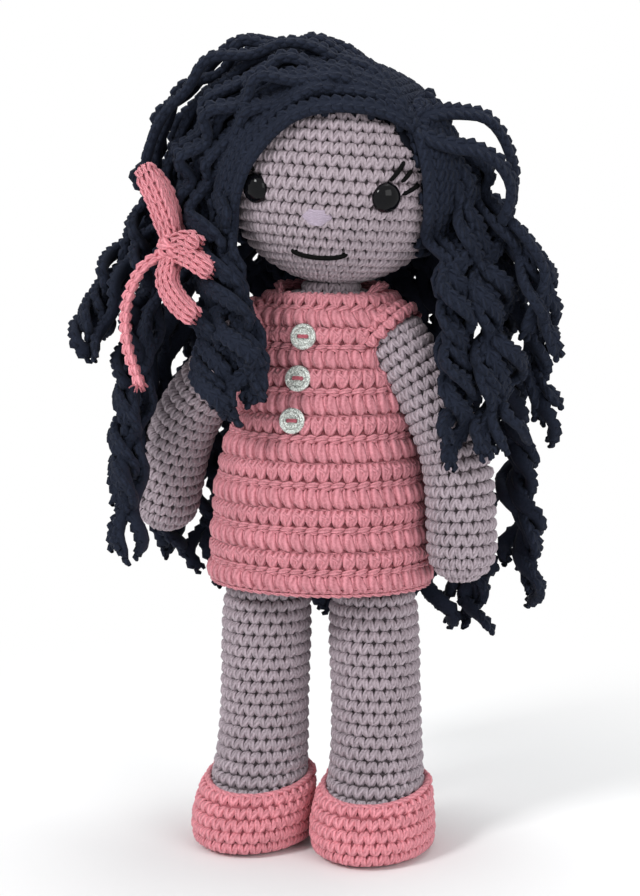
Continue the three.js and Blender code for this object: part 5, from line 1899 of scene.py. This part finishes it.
@dataclass
class Buttons(SubAssembly):
    """Three two-hole glitter buttons and the thread that sews them on."""

    radius: float = 5.3
    thickness: float = 2.2
    hole_radius: float = 0.9
    holes_apart: float = 3.4
    dish: float = 0.45
    rounding: float = 0.55
    thread_radius: float = 0.42

    def build(self) -> None:
        """Turns the buttons, drills them and sews them on."""
        finish = Glitter().material()
        for name in ("top", "middle", "bottom"):
            low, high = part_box(f"button_{name}")
            slope = self.slope(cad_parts[f"button_{name}"])
            turn = Matrix.Translation((low + high) / 2) @ Matrix.Rotation(slope, 4, "X")
            disc = self.disc()
            disc.transform(turn)
            piece = joined_piece(f"glitter_button_{name}", [(disc, finish)])
            self.finish(piece, "torso", "button_face", f"button_{name}")
            x, face = self.holes_apart / 2, -self.thickness / 2 - 0.3
            strands = []
            for shift in (-0.35, 0.35):
                way = np.array([(-x, 0.6, shift), (-x, face, shift), (-x * 0.5, face - 0.5, shift),
                                (x * 0.5, face - 0.5, shift), (x, face, shift), (x, 0.6, shift)])
                line = smooth_line(way, 0.5)
                strands.append(Strand(tuple(map(tuple, line)), (self.thread_radius,) * len(line)))
            thread = yarn_mesh("button_thread", strands, 6)
            thread.transform(turn)
            bar = joined_piece(f"sewing_bar_{name}", [(thread, SEWING.material())])
            self.finish(bar, "torso", SEWING.slot, f"button_thread_{name}")

    def slope(self, node: bpy.types.Object) -> float:
        """How far a button leans back.

        Args:
            node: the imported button.
        Returns:
            The angle about the X axis, in radians.
        """
        largest = max(node.data.polygons, key=lambda p: p.area if p.normal.y < -0.5 else 0)
        total = Vector((0, 0, 0))
        for p in node.data.polygons:
            if p.normal.dot(largest.normal) > 0.99:
                total += p.normal * p.area
        total.normalize()
        return math.atan2(-total.z, -total.y) if total.y < 0 else 0.0

    def disc(self) -> bpy.types.Mesh:
        """The button round the origin, its face towards -Y.

        Returns:
            The mesh, in metres.
        """
        r, t, edge = self.radius, self.thickness, self.rounding
        profile = [(r - edge, -t / 2), (r, -t / 2 + edge), (r, t / 2 - edge), (r - edge, t / 2),
                   (r - 1.5, t / 2), (r - 2.0, t / 2 - self.dish)]
        dish_y, back_y, sides, hole_sides = -(t / 2 - self.dish) * MM, t / 2 * MM, 56, 16
        mesh = bpy.data.meshes.new("disc")
        with shaping(mesh) as work:
            def ring(x: float, y: float, radius: float, count: int) -> list[bmesh.types.BMVert]:
                """A ring of corners, x in millimetres and y in metres."""
                return [work.verts.new(((x + radius * math.cos(a)) * MM, y, radius * math.sin(a) * MM))
                        for a in turns(count)]

            rings = [ring(0.0, -height * MM, radius, sides) for radius, height in profile]
            holes = [[ring(x, y, self.hole_radius, hole_sides) for y in (dish_y, back_y)]
                     for x in (-self.holes_apart / 2, self.holes_apart / 2)]
            for low, high in [*zip(rings, rings[1:]), *holes]:
                for s in range(len(low)):
                    n = (s + 1) % len(low)
                    work.faces.new((low[s], low[n], high[n], high[s]))
            for outer, level in ((rings[-1], 0), (rings[0], 1)):
                edges = []
                for loop in (outer, holes[0][level], holes[1][level]):
                    for vertex, other in zip(loop, loop[1:] + loop[:1]):
                        edges.append(work.edges.get((vertex, other)) or work.edges.new((vertex, other)))
                bmesh.ops.triangle_fill(work, use_beauty=True, use_dissolve=False, edges=edges)
            bmesh.ops.recalc_face_normals(work, faces=work.faces)
        return mesh


@dataclass
class Studio:
    """The floor, the lamps and the camera."""

    azimuth: float = 17.0
    distance: float = 0.900
    height: float = 0.292
    aim_height: float = 0.167
    focal_px: float = 2178.7
    image: tuple[int, int] = (640, 896)
    sensor: float = 36.0
    floor_reach: float = 6.0
    # Each lamp's name, place in metres, size in metres and power in watts.
    lamps: tuple = (("key", (-0.9, -1.5, 1.5), 0.5, 24.0), ("fill", (1.5, -1.1, 0.8), 1.1, 12.0),
                    ("top", (0.1, 0.5, 1.8), 1.2, 14.0))

    def build(self) -> None:
        """Sets the stage."""
        self.floor()
        self.world()
        for lamp in self.lamps:
            self.lamp(*lamp)
        self.camera()
        bpy.context.scene.view_settings.view_transform = "Standard"

    def floor(self) -> None:
        """A plain pale floor."""
        mesh = bpy.data.meshes.new("floor")
        corners = [(x * self.floor_reach, y * self.floor_reach, 0)
                   for x, y in ((-1, -1), (1, -1), (1, 1), (-1, 1))]
        mesh.from_pydata(corners, [], [(0, 1, 2, 3)])
        floor = linked("floor", mesh)
        material, tree, paper = new_material("floor_paper", {
            "Roughness": 0.9, "Base Color": (0.88, 0.88, 0.88, 1)})
        place = add_node(tree, "ShaderNodeTexCoord").outputs["Object"]
        reach = add_node(tree, "ShaderNodeVectorMath", {0: place}, operation="LENGTH")
        far = add_node(tree, "ShaderNodeMapRange", {
            "Value": reach.outputs["Value"], "From Min": 0.12, "From Max": 0.42},
            interpolation_type="SMOOTHSTEP")
        path = add_node(tree, "ShaderNodeLightPath").outputs
        either = math_node(tree, "ADD", path["Is Camera Ray"], path["Is Glossy Ray"])
        mix = add_node(tree, "ShaderNodeMixShader", {
            "Fac": math_node(tree, "MULTIPLY", far.outputs["Result"], either),
            1: paper.outputs[0], 2: add_node(tree, "ShaderNodeEmission").outputs[0]})
        set_inputs(tree.nodes["Material Output"], {"Surface": mix.outputs[0]})
        mesh.materials.append(material)

    def world(self) -> None:
        """Even light all round, and white wherever the camera sees past the object."""
        world = bpy.data.worlds.new("studio")
        bpy.context.scene.world = world
        world.use_nodes = True
        tree = world.node_tree
        tree.nodes.clear()
        out = add_node(tree, "ShaderNodeOutputWorld")
        seen, lit = (add_node(tree, "ShaderNodeBackground", {"Color": colour, "Strength": strength})
                     for colour, strength in (((1, 1, 1, 1), 1.0), ((0.97, 0.985, 1.0, 1), 0.55)))
        path = add_node(tree, "ShaderNodeLightPath").outputs
        either = math_node(tree, "ADD", path["Is Camera Ray"], path["Is Glossy Ray"])
        either = math_node(tree, "ADD", either, path["Is Transmission Ray"])
        mix = add_node(tree, "ShaderNodeMixShader", {
            "Fac": either, 1: lit.outputs[0], 2: seen.outputs[0]})
        set_inputs(out, {"Surface": mix.outputs[0]})

    def lamp(self, name: str, at: tuple[float, float, float], size: float, power: float) -> None:
        """A soft square lamp that looks at the doll.

        Args:
            name: the lamp's name.
            at: where it stands, in metres.
            size: the length of its sides.
            power: its power in watts.
        """
        data = bpy.data.lights.new(name, "AREA")
        data.size, data.energy = size, power
        lamp = linked(name, data)
        lamp.location = at
        lamp.rotation_euler = (Vector((0, 0, 0.18)) - Vector(at)).to_track_quat("-Z", "Y").to_euler()

    def camera(self) -> None:
        """The camera, where the photograph was taken from."""
        data = bpy.data.cameras.new("camera")
        data.sensor_width = self.sensor
        data.lens = self.sensor * self.focal_px / max(self.image)
        camera = linked("camera", data)
        a = math.radians(self.azimuth)
        stand = Vector(STAND * MM)
        place = Vector((self.distance * math.sin(a), -self.distance * math.cos(a), self.height)) + stand
        camera.location = place
        aim = Vector((0, 0, self.aim_height)) + stand
        camera.rotation_euler = (aim - place).to_track_quat("-Z", "Y").to_euler()
        bpy.context.scene.camera = camera


def write_sizes() -> None:
    """Updates the view layer."""
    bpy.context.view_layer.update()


def main() -> None:
    """Builds the doll piece by piece and sets the stage."""
    logging.basicConfig(level=logging.INFO, format="%(message)s")
    Studio().build()
    maker = StitchMaker()
    Torso(maker).build()
    for side, (lift, back) in ARM_LEANS.items():
        Arm(maker, side=side, lift=lift, back=back).build()
        Leg(maker, side=side).build()
    Dress(maker).build()
    head = Head(maker)
    head.build()
    hair = Hair(maker, head=head)
    hair.build()
    Bow(maker, knot=hair.bow_middle()).build()
    Buttons(maker).build()
    maker.put_away()
    washer = MouldedWhite().material()
    for side in SIDES.values():
        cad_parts[f"{side}_eye_washer"].data.materials[0] = washer
    write_sizes()


if __name__ == "__main__":
    main()
